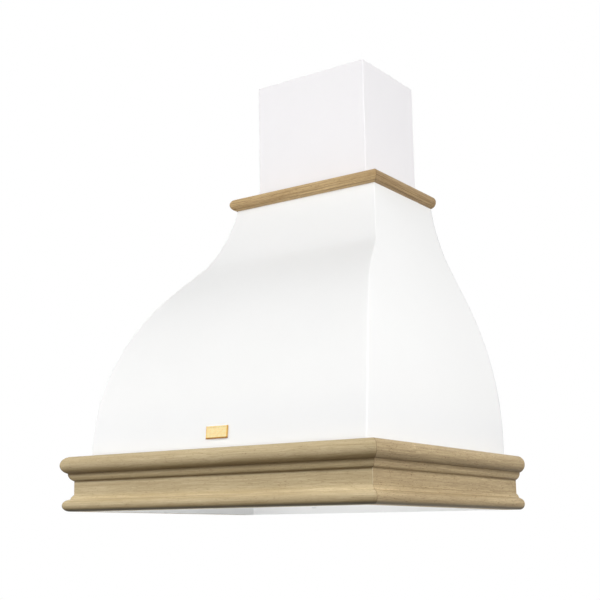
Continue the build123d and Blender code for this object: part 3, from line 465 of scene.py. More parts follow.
grain, given, gives = new_effect(
    "oak_grain",
    {"Place": "Vector", "Light": "Color", "Deep": "Color", "Lines": "Float", "Pores": "Float",
     "End": "Float"},
    {"Colour": "Color", "Roughness": "Float", "Height": "Float"})
sway = streaks(grain, given["Place"], (7.0, 2.5, 2.5), detail=2.0)
board_place = swayed(grain, given["Place"], sway, (0.0, 0.010, 0.010))
slow = streaks(grain, given["Place"], (5.0, 26.0, 26.0), detail=2.0)
broad_lines = streaks(grain, board_place, (2.4, 240.0, 240.0), detail=3.0, roughness=0.6)
fine_lines = streaks(grain, board_place, (7.0, 720.0, 720.0), detail=2.0, roughness=0.6)
fibres = streaks(grain, board_place, (45.0, 1300.0, 1300.0), detail=2.0)
pore_field = streaks(grain, board_place, (190.0, 1000.0, 1000.0), detail=1.0)
rays = streaks(grain, given["Place"], (75.0, 520.0, 520.0), detail=1.0, shift=(3.1, 7.7, 5.3))
broad_mark = ranged(grain, broad_lines, 0.46, 0.62, 0.0, 0.50)
fine_mark = ranged(grain, fine_lines, 0.42, 0.60, 0.0, 0.62)
line_mark = reckoned(grain, "MULTIPLY", given["Lines"], reckoned(grain, "ADD", broad_mark, fine_mark))
pore_mark = reckoned(grain, "MULTIPLY", given["Pores"], ranged(grain, pore_field, 0.63, 0.70))
ray_fleck, pore_brown, end_brown = (0.70, 0.58, 0.40, 1), (0.46, 0.36, 0.26, 1), (0.66, 0.58, 0.48, 1)
wood = mixed(grain, "MIX", ranged(grain, slow, 0.32, 0.70, 0.0, 0.40), given["Light"], given["Deep"])
wood = mixed(grain, "MIX", ranged(grain, fibres, 0.38, 0.66, 0.0, 0.46), wood, given["Deep"])
wood = mixed(grain, "MIX", line_mark, wood, given["Deep"])
wood = mixed(grain, "MIX", ranged(grain, rays, 0.60, 0.74, 0.0, 0.12), wood, ray_fleck)
wood = mixed(grain, "MULTIPLY", pore_mark, wood, pore_brown)
wood = mixed(grain, "MULTIPLY", given["End"], wood, end_brown)
line_groove = ranged(grain, fine_lines, 0.4, 0.7, 0.0, -0.30)
feed(grain, wood, gives["Colour"])
feed(grain, ranged(grain, fibres, 0.2, 0.8, 0.52, 0.64), gives["Roughness"])
feed(grain, reckoned(grain, "SUBTRACT", line_groove, pore_mark), gives["Height"])

# A mitre shows as a thin dark line, pale part way up.  The boards' inner faces are white.
mitre, given, gives = new_effect(
    "mitre_joint",
    {"Place": "Vector", "Colour": "Color", "Run out": "Float", "Fill low": "Float", "Fill high": "Float",
     "Back x": "Float", "Back y": "Float"},
    {"Colour": "Color"})
line_core, line_edge, line_share, pale_line_share = 0.00015, 0.0007, 0.75, 0.45
line_brown, pale_line_tint, back_white = (0.35, 0.26, 0.17, 1), (0.78, 0.70, 0.55, 1), (0.85, 0.85, 0.84, 1)
spot = axes_of(mitre, given["Place"])
off_middle = reckoned(mitre, "ABSOLUTE", spot["X"])
past_joint = reckoned(mitre, "ADD", reckoned(mitre, "ADD", off_middle, spot["Y"]), given["Run out"])
joint = ranged(mitre, reckoned(mitre, "ABSOLUTE", past_joint), line_core, line_edge, 1.0, 0.0)
pale_span = reckoned(mitre, "MULTIPLY", reckoned(mitre, "GREATER_THAN", spot["Z"], given["Fill low"]),
                  reckoned(mitre, "LESS_THAN", spot["Z"], given["Fill high"]))
shut = reckoned(mitre, "MULTIPLY", joint, reckoned(mitre, "SUBTRACT", 1.0, pale_span))
dark_line = reckoned(mitre, "MULTIPLY", shut, line_share)
pale_line = reckoned(mitre, "MULTIPLY", reckoned(mitre, "MULTIPLY", joint, pale_span), pale_line_share)
inside = reckoned(mitre, "MULTIPLY", reckoned(mitre, "LESS_THAN", off_middle, given["Back x"]),
                  reckoned(mitre, "GREATER_THAN", spot["Y"], given["Back y"]))
seamed = mixed(mitre, "MULTIPLY", dark_line, given["Colour"], line_brown)
seamed = mixed(mitre, "MIX", pale_line, seamed, pale_line_tint)
feed(mitre, mixed(mitre, "MIX", inside, seamed, back_white), gives["Colour"])

# Painted shade darkens the boards in the hollows and under the beads, by height in millimetres.
# The lowest edge carries a darker painted shadow still.
hollow_shade, given, gives = new_effect(
    "painted_hollow_shade", {"Place": "Vector", "Colour": "Color", "Share": "Float"}, {"Colour": "Color"})
board_high = 90.0
shade_by_height = ((0, 1.0), (2.5, 0.95), (4, 0.78), (10, 0.32), (18.5, 0.0), (25, 0.13), (29, 0.29), (45.5, 0.35),
            (47, 0.45), (48.9, 0.90), (50.2, 0.86), (52.5, 0.41), (56, 0.42), (60.9, 0.98), (63.5, 0.92),
            (66, 0.83), (72, 0.46), (77, 0.30), (84, 0.17), (90, 0.10))
edge_shade_low, edge_shade_high = 0.0015, 0.0060
hollow_shade_tint, edge_shade_tint = (0.15, 0.115, 0.06, 1), (0.28, 0.32, 0.36, 1)
up_board = axes_of(hollow_shade, given["Place"])["Z"]
shade_ramp = hollow_shade.nodes.new("ShaderNodeValToRGB")
feed(hollow_shade, reckoned(hollow_shade, "MULTIPLY", up_board, 1000 / board_high), shade_ramp.inputs[0])
for level, _ in shade_by_height[1:-1]:
    shade_ramp.color_ramp.elements.new(level / board_high)
for stop, (level, share) in zip(shade_ramp.color_ramp.elements, shade_by_height):
    stop.position, stop.color = level / board_high, (share, share, share, 1)
hollow_share = reckoned(hollow_shade, "MULTIPLY", shade_ramp.outputs["Color"], given["Share"])
# A painted shadow darkens the lowest few millimetres of each board.
edge_shade_fade = ranged(hollow_shade, up_board, edge_shade_low, edge_shade_high, 1.0, 0.0)
edge_shade = reckoned(hollow_shade, "MULTIPLY", edge_shade_fade, given["Share"])
hollow_shaded = mixed(hollow_shade, "MULTIPLY", hollow_share, given["Colour"], hollow_shade_tint)
feed(hollow_shade, mixed(hollow_shade, "MULTIPLY", edge_shade, hollow_shaded, edge_shade_tint), gives["Colour"])


def oak(name, light, deep, lines, pores, along, shift, run_out, pale_span=(0, 0), back=(0, 0), painted_shade_share=0.0):
    """Lacquered oak for one board: its cut from the tree, its mitre, and the painted shade in its hollows."""
    finish, tree, shader = new_finish(name, light, roughness=0.58)
    place = on_piece(tree)
    facing = axes_of(tree, tree.nodes.new("ShaderNodeNewGeometry").outputs["Normal"])
    end = ranged(tree, reckoned(tree, "ABSOLUTE", facing[along]), 0.80, 0.95)
    turned = laid(tree, place, turn=(0, 0, 0 if along == "X" else pi / 2), shift=shift)
    board = with_effect(tree, grain, Place=turned, Light=(*light, 1), Deep=(*deep, 1), Lines=lines,
                        Pores=pores, End=end)
    # The painted shade is fainter on flat undersides and full over the rest of the profile.
    shade_by_facing = ranged(tree, facing["Z"], -0.9995, -0.995, 0.35 * painted_shade_share, painted_shade_share)
    shaded_board = with_effect(tree, hollow_shade, Place=place, Colour=board["Colour"], Share=shade_by_facing)
    joined = with_effect(tree, mitre, Place=place, Colour=shaded_board["Colour"], Run_out=run_out,
                         Fill_low=pale_span[0], Fill_high=pale_span[1], Back_x=back[0], Back_y=back[1])
    tree.links.new(joined["Colour"], shader.inputs["Base Color"])
    tree.links.new(board["Roughness"], shader.inputs["Roughness"])
    tree.links.new(raised(tree, board["Height"], strength=0.6, depth=0.00012), shader.inputs["Normal"])
    shader.inputs["Specular IOR Level"].default_value = 0.30
    return finish


cornice_joint = {"run_out": 0.2000, "pale_span": (0.0270, 0.0495), "back": (0.26345, -0.46345)}
# The share given last for each board sets the strength of its painted shade.
front_board = oak("oak_front_board", (0.738, 0.612, 0.387), (0.474, 0.363, 0.196), lines=0.64, pores=0.42,
                  along="X", shift=(0.3, 0.02, 0.06), painted_shade_share=1.0, **cornice_joint)
right_board = oak("oak_right_board", (0.662, 0.522, 0.308), (0.398, 0.294, 0.162), lines=0.78, pores=0.85,
                  along="Y", shift=(1.7, 0.03, 0.11), painted_shade_share=0.81, **cornice_joint)
left_board = oak("oak_left_board", (0.690, 0.560, 0.345), (0.440, 0.332, 0.184), lines=0.70, pores=0.70,
                 along="Y", shift=(4.1, 0.05, 0.02), painted_shade_share=0.95, **cornice_joint)
coat(front_board, "cornice_front")
coat(right_board, "cornice_right")
coat(left_board, "cornice_left", "cornice_splines")

# ---- Oak bullnose round the neck
# Three round-nosed battens cut from a warmer board, mitred, held by screws up through the neck plate.
# Two dark rings of the tree run along the nose of each and wander a little.
batten = {"lines": 0.95, "pores": 0.60, "run_out": 0.0638}
nose_front = oak("oak_nose_front", (0.645, 0.476, 0.252), (0.335, 0.215, 0.096),
                 along="X", shift=(2.2, 0.01, 0.03), **batten)
nose_right = oak("oak_nose_right", (0.478, 0.342, 0.180), (0.237, 0.150, 0.070),
                 along="Y", shift=(5.3, 0.02, 0.05), **batten)
nose_left = oak("oak_nose_left", (0.592, 0.425, 0.224), (0.302, 0.192, 0.088),
                along="Y", shift=(7.9, 0.04, 0.01), **batten)
rings_at = ((0.5534, 0.55), (0.5576, 0.50))
ring_core, ring_edge, ring_wander, ring_brown = 0.0002, 0.0009, 0.0016, (0.42, 0.36, 0.28, 1)
rings, given, gives = new_effect("dark_rings", {"Place": "Vector", "Colour": "Color"}, {"Colour": "Color"})
up_nose = axes_of(rings, given["Place"])["Z"]
wander = streaks(rings, given["Place"], (6.0, 6.0, 1.0), detail=2.0)
wandering = reckoned(rings, "MULTIPLY_ADD", wander, ring_wander, up_nose)
ring_mark = 0.0
for ring_height, ring_share in rings_at:
    off_ring = reckoned(rings, "ABSOLUTE", reckoned(rings, "SUBTRACT", wandering, ring_height))
    one_ring = ranged(rings, off_ring, ring_core, ring_edge, ring_share, 0.0)
    ring_mark = reckoned(rings, "ADD", one_ring, ring_mark)
feed(rings, mixed(rings, "MULTIPLY", ring_mark, given["Colour"], ring_brown), gives["Colour"])
for nose, node in ((nose_front, "moulding_front"), (nose_right, "moulding_right"),
                   (nose_left, "moulding_left")):
    tree, shader, bare = colour_so_far(nose)
    ringed = with_effect(tree, rings, Place=on_piece(tree), Colour=bare)
    tree.links.new(ringed["Colour"], shader.inputs["Base Color"])
    coat(nose, node)

# ---- Brass plaque
# A small cast plate with bevelled edges and a sunk bare field, polished and lacquered.
# Two studs on its back pass through the front sheet, on which it lies flat.
plaque_wide, plaque_high, plaque_thick = 0.0410, 0.0200, 0.0026
plaque_rise, off_sheet, slope_step = 0.1155, 0.00005, 0.001
plaque_bevel, plaque_border, corner_bevel = 0.0009, 0.0022, 0.0005
plaque_sunk, sunk_slope = 0.0004, 0.6
stud_r, stud_long, stud_aside = 0.0015, 0.0040, 0.0130
slope = (front_reach(plaque_rise + slope_step) - front_reach(plaque_rise - slope_step)) / (2 * slope_step)
lean = -atan(slope)
plaque = start_piece("brass_plaque", "cube", size=1, location=(0, 0, 0.5))
resize(plaque_wide, plaque_high, plaque_thick)
pick(plaque, "edges", lambda p: abs(p.z - plaque_thick) < hair)
bpy.ops.mesh.bevel(offset=plaque_bevel, segments=2, profile=0.6, affect="EDGES")
pick(plaque, "polygons", lambda p, n: n.z > 0.99 and abs(p.z - plaque_thick) < hair)
bpy.ops.mesh.inset(thickness=plaque_border - plaque_bevel)
bpy.ops.mesh.inset(thickness=plaque_sunk * sunk_slope)
bpy.ops.transform.translate(value=(0, 0, -plaque_sunk))
pick(plaque, "edges", lambda p: abs(abs(p.x) - plaque_wide / 2) < hair
     and abs(abs(p.y) - plaque_high / 2) < hair)
bpy.ops.mesh.bevel(offset=corner_bevel, segments=2, affect="EDGES")
for stud_x in (-stud_aside, stud_aside):
    bpy.ops.mesh.primitive_cylinder_add(
        vertices=20, radius=stud_r, depth=stud_long, location=(stud_x, 0, -stud_long / 2))
close_piece(plaque)
seat = (0, -front_reach(plaque_rise) - off_sheet * cos(lean), plaque_rise + off_sheet * sin(lean))
plaque.matrix_world = Matrix.Translation(seat) @ Matrix.Rotation(pi / 2 - lean, 4, "X")
close_piece(plaque, 25)
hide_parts("badge_plate")
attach(plaque, "hood")

# Drawn or brushed metal: fine scratches one way, slow smudges.
brushed, given, gives = new_effect(
    "brushed_metal", {"Place": "Vector", "Colour": "Color", "Roughness": "Float", "Streak": "Float"},
    {"Colour": "Color", "Roughness": "Float", "Height": "Float"})
scratches = streaks(brushed, given["Place"], (14.0, 1500.0, 1500.0), detail=2.0, roughness=0.6)
smudges = cloud(brushed, given["Place"], scale=11.0, detail=3.0)
streak = reckoned(brushed, "MULTIPLY", ranged(brushed, scratches, 0.3, 0.7), given["Streak"])
shade = reckoned(brushed, "SUBTRACT", 1.0, reckoned(brushed, "MULTIPLY", streak, 0.22))
smudged = reckoned(brushed, "MULTIPLY_ADD", smudges, 0.10, given["Roughness"])
scratched = reckoned(brushed, "MULTIPLY", streak, 0.12)
feed(brushed, mixed(brushed, "MULTIPLY", 1.0, given["Colour"], shade), gives["Colour"])
feed(brushed, reckoned(brushed, "ADD", smudged, scratched), gives["Roughness"])
feed(brushed, streak, gives["Height"])


def drawn_metal(name, colour, roughness, streak, turn=(0, 0, 0)):
    """A bare metal finish with its scratches along x before the turn."""
    finish, tree, shader = new_finish(name, colour, roughness, metal=1.0)
    metal = with_effect(tree, brushed, Place=laid(tree, on_piece(tree), turn=turn), Colour=(*colour, 1),
                        Roughness=roughness, Streak=streak)
    tree.links.new(metal["Colour"], shader.inputs["Base Color"])
    tree.links.new(metal["Roughness"], shader.inputs["Roughness"])
    tree.links.new(raised(tree, metal["Height"], strength=0.35, depth=0.00002), shader.inputs["Normal"])
    return finish


# Painted shade: the colour is darkened at both ends and along the foot; it is also a little blotchy all over.
brass = drawn_metal("polished_brass", (0.985, 0.810, 0.440), roughness=0.16, streak=0.20)
blotch_brown, end_shade_tint, foot_shade_tint = (1.0, 0.95, 0.86, 1), (0.84, 0.62, 0.30, 1), (0.40, 0.22, 0.06, 1)
tree, shader, bright = colour_so_far(brass)
spot = axes_of(tree, on_piece(tree))
from_end = reckoned(tree, "SUBTRACT", plaque_wide / 2, reckoned(tree, "ABSOLUTE", spot["X"]))
above_foot = reckoned(tree, "SUBTRACT", spot["Z"], plaque_rise - plaque_high / 2)
blotch = ranged(tree, cloud(tree, on_piece(tree), scale=190.0, detail=2.0), 0.38, 0.62)
tone = mixed(tree, "MULTIPLY", blotch, bright, blotch_brown)
tone = mixed(tree, "MULTIPLY", ranged(tree, from_end, 0.0006, 0.0018, 1.0, 0.0), tone, end_shade_tint)
tone = mixed(tree, "MULTIPLY", ranged(tree, above_foot, 0.0015, 0.0029, 1.0, 0.0), tone, foot_shade_tint)
tree.links.new(tone, shader.inputs["Base Color"])
plaque.data.materials.append(brass)
coat(brass, "badge_plate")

# ---- Back panel, neck plate, scroll, brackets and hooks
# Pressed from hot-dip zinc-coated sheet: dull grey with large frozen spangles and thin grain borders.
# The back panel's foot, which shows below the cornice, is painted along with the canopy.
painted_foot = 0.0140
spangle_dull, spangle_bright = (0.56, 0.58, 0.60, 1), (0.69, 0.71, 0.73, 1)
border_grey = (0.38, 0.40, 0.42, 1)
zinc, given, gives = new_effect(
    "zinc_spangle", {"Place": "Vector", "Size": "Float"},
    {"Colour": "Color", "Roughness": "Float", "Height": "Float"})
ragged = cloud(zinc, given["Place"], scale=160.0, detail=2.0)
frozen = swayed(zinc, given["Place"], ragged, (0.006, 0.006, 0.006))
crystals, borders = zinc.nodes.new("ShaderNodeTexVoronoi"), zinc.nodes.new("ShaderNodeTexVoronoi")
borders.feature = "DISTANCE_TO_EDGE"
for texture in (crystals, borders):
    feed(zinc, frozen, texture.inputs["Vector"])
    feed(zinc, given["Size"], texture.inputs["Scale"])
chance = zinc.nodes.new("ShaderNodeSeparateColor")
feed(zinc, crystals.outputs["Color"], chance.inputs[0])
border = ranged(zinc, borders.outputs["Distance"], 0.0, 0.05, 0.22, 0.0)
dulled = ranged(zinc, cloud(zinc, given["Place"], scale=9.0, detail=3.0), 0.3, 0.7, 0.88, 1.0)
spangled = mixed(zinc, "MIX", chance.outputs["Red"], spangle_dull, spangle_bright)
spangled = mixed(zinc, "MIX", border, spangled, border_grey)
feed(zinc, mixed(zinc, "MULTIPLY", 1.0, spangled, dulled), gives["Colour"])
feed(zinc, reckoned(zinc, "MULTIPLY_ADD", chance.outputs["Green"], 0.22, 0.30), gives["Roughness"])
feed(zinc, chance.outputs["Blue"], gives["Height"])


def zinc_coated(name, painted_below=None):
    """Zinc-coated sheet, painted white up to a height if one is given."""
    metal = 0.92
    finish, tree, shader = new_finish(name, (0.62, 0.64, 0.66), roughness=0.4, metal=metal)
    coated = with_effect(tree, zinc, Place=on_piece(tree), Size=120.0)
    tree.links.new(coated["Roughness"], shader.inputs["Roughness"])
    tree.links.new(raised(tree, coated["Height"], strength=0.25, depth=0.00005), shader.inputs["Normal"])
    tree.links.new(coated["Colour"], shader.inputs["Base Color"])
    if painted_below is not None:
        paint = with_effect(tree, powder, Place=on_piece(tree), Colour=(*canopy_white, 1),
                            Roughness=canopy_roughness, Peel=canopy_peel)
        painted = reckoned(tree, "LESS_THAN", axes_of(tree, on_piece(tree))["Z"], painted_below)
        both = mixed(tree, "MIX", painted, coated["Colour"], paint["Colour"])
        tree.links.new(both, shader.inputs["Base Color"])
        tree.links.new(ranged(tree, painted, 0.0, 1.0, metal, 0.0), shader.inputs["Metallic"])
    return finish


coat(zinc_coated("galvanised_sheet"), "canopy_top_plate", "chimney_bracket", "filter_hooks", "motor_bracket",
     "blower_housing_left", "blower_housing_right")
coat(zinc_coated("galvanised_painted_foot", painted_foot), "back_panel")

# ---- Base plate
# One punched sheet that closes the underside round the filters, powder coated white and satin.
# It lies on the turned-in foot of the canopy and is screwed to it from below.
base_paint = in_one_colour("base_plate_coat", powder, (0.840, 0.840, 0.832), roughness=0.38, Peel=0.34)
coat(base_paint, "base_plate")

# ---- Grease filters
# Each is a folded aluminium frame round layers of expanded mesh: slit sheet pulled open to diamonds.
# The lowest and the highest layer show, and a coarser one lies between them.
frame_metal = drawn_metal("filter_frame_aluminium", (0.80, 0.81, 0.82), roughness=0.30, streak=0.55)
coat(frame_metal, "filter_frame_left", "filter_frame_right")
mesh_low_x, mesh_high_x, mesh_low_d, mesh_high_d = 0.0125, 0.2255, 0.0635, 0.3415
strand = 0.0010
mesh_metal = drawn_metal("expanded_aluminium", (0.74, 0.75, 0.77), roughness=0.26, streak=0.35,
                         turn=(0, 0, 0.6))


def expanded_layer(name, long_way, short_way, wave, level):
    """One layer of expanded mesh: a net of diamonds, pressed wavy, trimmed to the frame and given strands."""
    spare = 1.6
    count = int(spare * max((mesh_high_x - mesh_low_x) / long_way, (mesh_high_d - mesh_low_d) / short_way))
    middle_x, middle_y = (mesh_low_x + mesh_high_x) / 2, -(mesh_low_d + mesh_high_d) / 2
    net = start_piece(name, "grid", x_subdivisions=count, y_subdivisions=count, size=count,
                      location=(0, 0, 0))
    bpy.ops.transform.rotate(value=pi / 4, orient_axis="Z", center_override=(0, 0, 0))
    resize(long_way / sqrt(2), short_way / sqrt(2), 1)
    pick(net, "vertices", lambda p: round(2 * p.y / short_way) % 2)
    bpy.ops.transform.translate(value=(0, 0, wave))
    bpy.ops.mesh.select_all(action="SELECT")
    bpy.ops.transform.translate(value=(middle_x, middle_y, level))
    inset = strand * 0.6
    for edge, outward in (((mesh_low_x + inset, 0, 0), (-1, 0, 0)),
                          ((mesh_high_x - inset, 0, 0), (1, 0, 0)),
                          ((0, -mesh_low_d - inset, 0), (0, 1, 0)),
                          ((0, -mesh_high_d + inset, 0), (0, -1, 0))):
        bpy.ops.mesh.select_all(action="SELECT")
        bpy.ops.mesh.bisect(plane_co=edge, plane_no=outward, clear_outer=True)
    close_piece(net)
    use_modifier(net, "WIREFRAME", thickness=strand, use_even_offset=False, use_boundary=True)
    return net


for layer_name, long_way, short_way, wave, level in (
        ("low", 0.0130, 0.0068, 0.0013, 0.01485),
        ("mid", 0.0190, 0.0100, 0.0012, 0.01720),
        ("high", 0.0130, 0.0068, -0.0012, 0.02055)):
    right_layer = expanded_layer("expanded_mesh_right_" + layer_name, long_way, short_way, wave, level)
    right_layer.data.materials.append(mesh_metal)
    left_layer = right_layer.copy()
    left_layer.data = right_layer.data.copy()
    left_layer.name = left_layer.data.name = "expanded_mesh_left_" + layer_name
    bpy.context.scene.collection.objects.link(left_layer)
    left_layer.data.transform(Matrix.Translation((-mesh_low_x - mesh_high_x, 0, 0)))
    for layer, side in ((right_layer, "right"), (left_layer, "left")):
        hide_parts("filter_mesh_" + side)
        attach(layer, "filter_" + side)

# ---- Filter handles and clips
# The handles are bails bent from plated wire, and they fold flat under the frames.
# The clips are tempered steel strip that springs over the front edge of each frame.
plated_wire = drawn_metal("plated_wire", (0.80, 0.80, 0.81), roughness=0.14, streak=0.20)
coat(plated_wire, "filter_handle_left", "filter_handle_right")
spring_strip = drawn_metal("tempered_strip", (0.46, 0.47, 0.50), roughness=0.28, streak=0.60)
coat(spring_strip, "filter_clips")

# ---- Lamps
# Pressed cups with a white enamel rim, pushed up through round holes in the base plate.
# Domed frosted lenses with a fine prism pattern close them from below.
lamp_enamel = in_one_colour("lamp_enamel", powder, (0.850, 0.850, 0.840), roughness=0.25, Peel=0.15)
coat(lamp_enamel, "lamp_housing_left", "lamp_housing_right")
lens_clear, lens_milky = (0.95, 0.96, 0.94, 1), (0.86, 0.88, 0.86, 1)
lens_glass, tree, shader = new_finish("frosted_lens", (0.93, 0.94, 0.92), roughness=0.22)
shader.inputs["Transmission Weight"].default_value = 0.45
shader.inputs["IOR"].default_value = 1.47
prisms = tree.nodes.new("ShaderNodeTexVoronoi")
prisms.inputs["Scale"].default_value = 520.0
prisms.inputs["Randomness"].default_value = 0.15
tree.links.new(on_piece(tree), prisms.inputs["Vector"])
tree.links.new(raised(tree, prisms.outputs["Distance"], strength=0.6, depth=0.00030), shader.inputs["Normal"])
frost = cloud(tree, on_piece(tree), scale=900.0, detail=2.0)
tree.links.new(ranged(tree, frost, 0.3, 0.7, 0.18, 0.34), shader.inputs["Roughness"])
prism_edge = ranged(tree, prisms.outputs["Distance"], 0.0, 0.5)
tree.links.new(mixed(tree, "MIX", prism_edge, lens_clear, lens_milky), shader.inputs["Base Color"])
coat(lens_glass, "lamp_lens_left", "lamp_lens_right")

# ---- Control panel and keys
# The panel is let into the base plate from below, and five keys slide up and down in its windows.
# Injection-moulded plastic, spark-textured on the panel and smoother on the keys that a finger wears.
moulded, given, gives = new_effect(
    "moulded_plastic", {"Place": "Vector", "Colour": "Color", "Roughness": "Float", "Texture": "Float"},
    {"Colour": "Color", "Roughness": "Float", "Normal": "Vector"})
spark = cloud(moulded, given["Place"], scale=2600.0, detail=1.0)
flow = streaks(moulded, given["Place"], (20.0, 60.0, 20.0), detail=2.0)
flow_tone = ranged(moulded, flow, 0.3, 0.7, 0.94, 1.0)
feed(moulded, mixed(moulded, "MULTIPLY", 1.0, given["Colour"], flow_tone), gives["Colour"])
feed(moulded, reckoned(moulded, "MULTIPLY_ADD", spark, 0.16, given["Roughness"]), gives["Roughness"])
feed(moulded, raised(moulded, spark, given["Texture"], depth=0.00006), gives["Normal"])
panel_plastic = in_one_colour("panel_plastic", moulded, (0.760, 0.760, 0.735), roughness=0.42, Texture=0.7)
key_plastic = in_one_colour("key_plastic", moulded, (0.820, 0.820, 0.800), roughness=0.26, Texture=0.25)
coat(panel_plastic, "control_panel")
coat(key_plastic, "button_off", "button_speed_1", "button_speed_2", "button_speed_3", "button_light")

# ---- Switches, collar, flaps, wheel, gland and control box
# Flame-retardant plastic, moulded with a coarser texture: black, but grey for the box and its lid.
# The switches stand over the keys, the flaps turn in the collar, and the wheel turns in the scroll.
black_plastic = in_one_colour("black_plastic", moulded, (0.028, 0.028, 0.030), roughness=0.45, Texture=0.9)
grey_plastic = in_one_colour("grey_plastic", moulded, (0.360, 0.370, 0.380), roughness=0.45, Texture=0.9)
coat(black_plastic, "switch_block", "outlet_collar", "cable_gland", "flap_front", "flap_rear", "impeller")
coat(grey_plastic, "control_box", "control_box_lid")

# ---- Circuit board
# Glass-fibre board under green solder mask, with tracks that show through it and tinned pads.
# It stands on four pillars in the control box.
mask_green, tree, shader = new_finish("solder_mask", (0.02, 0.16, 0.07), roughness=0.30)
mask_over_board, mask_over_track, tinned = (0.02, 0.15, 0.07, 1), (0.05, 0.30, 0.12, 1), (0.60, 0.60, 0.58, 1)
tracks = tree.nodes.new("ShaderNodeTexBrick")
for label, value in (("Scale", 130.0), ("Mortar Size", 0.035), ("Mortar Smooth", 0.2), ("Brick Width", 0.9),
                     ("Row Height", 0.35), ("Color1", mask_over_board), ("Color2", mask_over_board),
                     ("Mortar", mask_over_track), ("Vector", on_piece(tree))):
    feed(tree, value, tracks.inputs[label])
pads = tree.nodes.new("ShaderNodeTexVoronoi")
pads.inputs["Scale"].default_value = 260.0
pads.inputs["Randomness"].default_value = 0.3
tree.links.new(on_piece(tree), pads.inputs["Vector"])
pad_mark = ranged(tree, pads.outputs["Distance"], 0.14, 0.18, 1.0, 0.0)
stands_up = reckoned(tree, "ADD", tracks.outputs["Fac"], pad_mark)
tree.links.new(mixed(tree, "MIX", pad_mark, tracks.outputs["Color"], tinned), shader.inputs["Base Color"])
tree.links.new(ranged(tree, pad_mark, 0.0, 1.0, 0.30, 0.22), shader.inputs["Roughness"])
tree.links.new(raised(tree, stands_up, strength=0.4, depth=0.00008), shader.inputs["Normal"])
coat(mask_green, "circuit_board")

# ---- Motor and capacitor cans
# Drawn from aluminium, with fine rings left by the spinning.
# The motor hangs on its bracket beside the wheel, and the capacitor lies on the circuit board.
can_metal = drawn_metal("drawn_can", (0.70, 0.71, 0.72), roughness=0.34, streak=0.45, turn=(0, 0, pi / 2))
coat(can_metal, "motor", "capacitor")

# ---- Screws
# Zinc-plated steel, dome heads with a cross recess; the two in the sleeve's bracket are sunk flat.
# For each set one screw is turned, its recess struck, and it is copied to every seat.
# The motor's shaft, the wheel's nut and the flaps' pins have the same plating.
screw_r, head_r, head_high, head_round, point_bevel = 0.0020, 0.0038, 0.0022, 0.62, 0.0005
recess_long, recess_wide, recess_deep = 0.0036, 0.0008, 0.0012
recess_floor_long, recess_floor_wide = 0.55, 0.7
zinc_plate = drawn_metal("zinc_plate", (0.74, 0.745, 0.75), roughness=0.24, streak=0.30)
coat(zinc_plate, "motor_shaft", "impeller_nut", "flap_pins")


def turned_screw(name, length, domed):
    """A screw that points down from a seat at the origin: shank below, head above."""
    blank = start_piece(name, "circle", vertices=32, radius=screw_r, fill_type="NGON",
                        location=(0, 0, -length))
    bpy.ops.mesh.select_mode(type="FACE")
    bpy.ops.mesh.extrude_region_move(TRANSFORM_OT_translate={"value": (0, 0, length)})
    if domed:
        bpy.ops.mesh.extrude_region_move()
        resize(head_r / screw_r, head_r / screw_r, 1)
        bpy.ops.mesh.extrude_region_move(TRANSFORM_OT_translate={"value": (0, 0, head_high)})
        pick(blank, "edges", lambda p: p.z > head_high - hair)
        bpy.ops.mesh.bevel(offset=head_high * head_round, segments=5, affect="EDGES")
    pick(blank, "edges", lambda p: p.z < -length + hair)
    bpy.ops.mesh.bevel(offset=point_bevel, segments=1, affect="EDGES")
    bpy.ops.mesh.select_all(action="SELECT")
    bpy.ops.mesh.normals_make_consistent(inside=False)
    close_piece(blank)
    top = head_high if domed else 0.0
    punch = start_piece("recess_punch", "cube", size=1, location=(0, 0, 0))
    resize(recess_long, recess_wide, recess_deep * 2)
    bpy.ops.transform.translate(value=(0, 0, top))
    pick(punch, "polygons", lambda p, n: n.z < -0.9)
    resize(recess_floor_long, recess_floor_wide, 1, at_height=top - recess_deep)
    bpy.ops.mesh.select_all(action="SELECT")
    bpy.ops.mesh.duplicate()
    bpy.ops.transform.rotate(value=pi / 2, orient_axis="Z", center_override=(0, 0, 0))
    close_piece(punch)
    use_modifier(blank, "BOOLEAN", operation="DIFFERENCE", object=punch, solver="EXACT", use_self=True)
    bpy.data.objects.remove(punch)
    close_piece(blank, 30)
    blank.data.materials.append(zinc_plate)
    return blank


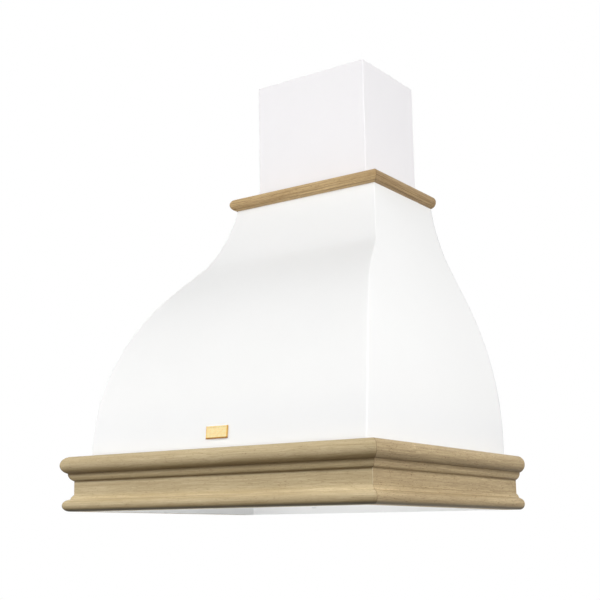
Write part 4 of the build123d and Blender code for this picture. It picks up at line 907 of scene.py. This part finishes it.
def set_of_screws(node, body, length, seats, domed=True):
    """Screws at their seats, each seat a place and the way the shank runs, as one set for its CAD node."""
    pattern = turned_screw(node + "_set", length, domed)
    screws = [pattern]
    for _ in seats[1:]:
        another = pattern.copy()
        another.data = pattern.data.copy()
        bpy.context.scene.collection.objects.link(another)
        screws.append(another)
    bpy.ops.object.select_all(action="DESELECT")
    for one, (place, way) in zip(screws, seats):
        turn = Vector(way).to_track_quat("-Z", "Y").to_matrix().to_4x4()
        one.matrix_world = Matrix.Translation(place) @ turn
        one.select_set(True)
    bpy.context.view_layer.update()
    bpy.context.view_layer.objects.active = pattern
    bpy.ops.object.join()
    close_piece(pattern)
    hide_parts(node)
    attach(pattern, body)


up, down, forward, right, left = (0, 0, 1), (0, 0, -1), (0, -1, 0), (1, 0, 0), (-1, 0, 0)
base_seats = ((0.1190, -0.4559), (0.1190, -0.0072), (0.2559, -0.15467), (0.2559, -0.24933))
set_of_screws("base_plate_screws", "hood", length=0.0052,
              seats=[((side * x, y, 0.0120), up) for x, y in base_seats for side in (-1, 1)])
set_of_screws("cornice_screws", "hood", length=0.0142,
              seats=[((x, -0.4619, 0.03825), forward) for x in (-0.1701, 0, 0.1701)]
              + [((0.2619, y, 0.03825), right) for y in (-0.1300, -0.3701)]
              + [((-0.2619, y, 0.03825), left) for y in (-0.1300, -0.3701)])
batten_seats = ((0.1341, -0.04948), (0.1341, -0.14843), (0.06705, -0.1979))
set_of_screws("moulding_screws", "hood", length=0.0142,
              seats=[((side * x, y, 0.5488), up) for x, y in batten_seats for side in (-1, 1)])
set_of_screws("chimney_screws", "hood", length=0.0062,
              seats=[((x, y, 0.5510), down) for x in (-0.1065, 0.1065) for y in (-0.03225, -0.10825)])
collar_seats = ((-0.0801, -0.0905), (0.0801, -0.0905), (0, -0.0104), (0, -0.1706))
set_of_screws("collar_screws", "hood", length=0.0052, seats=[((x, y, 0.5520), down) for x, y in collar_seats])
bracket_seats = ((-0.14571, 0.4560), (-0.08855, 0.3570), (-0.20287, 0.3570))
set_of_screws("motor_screws", "hood", length=0.0045, seats=[((0.0775, y, z), left) for y, z in bracket_seats])
set_of_screws("chimney_bracket_screws", "chimney_upper", length=0.0055,
              seats=[((0.1117, -0.0155, 0.7755), left), ((-0.1117, -0.0155, 0.7755), right)], domed=False)
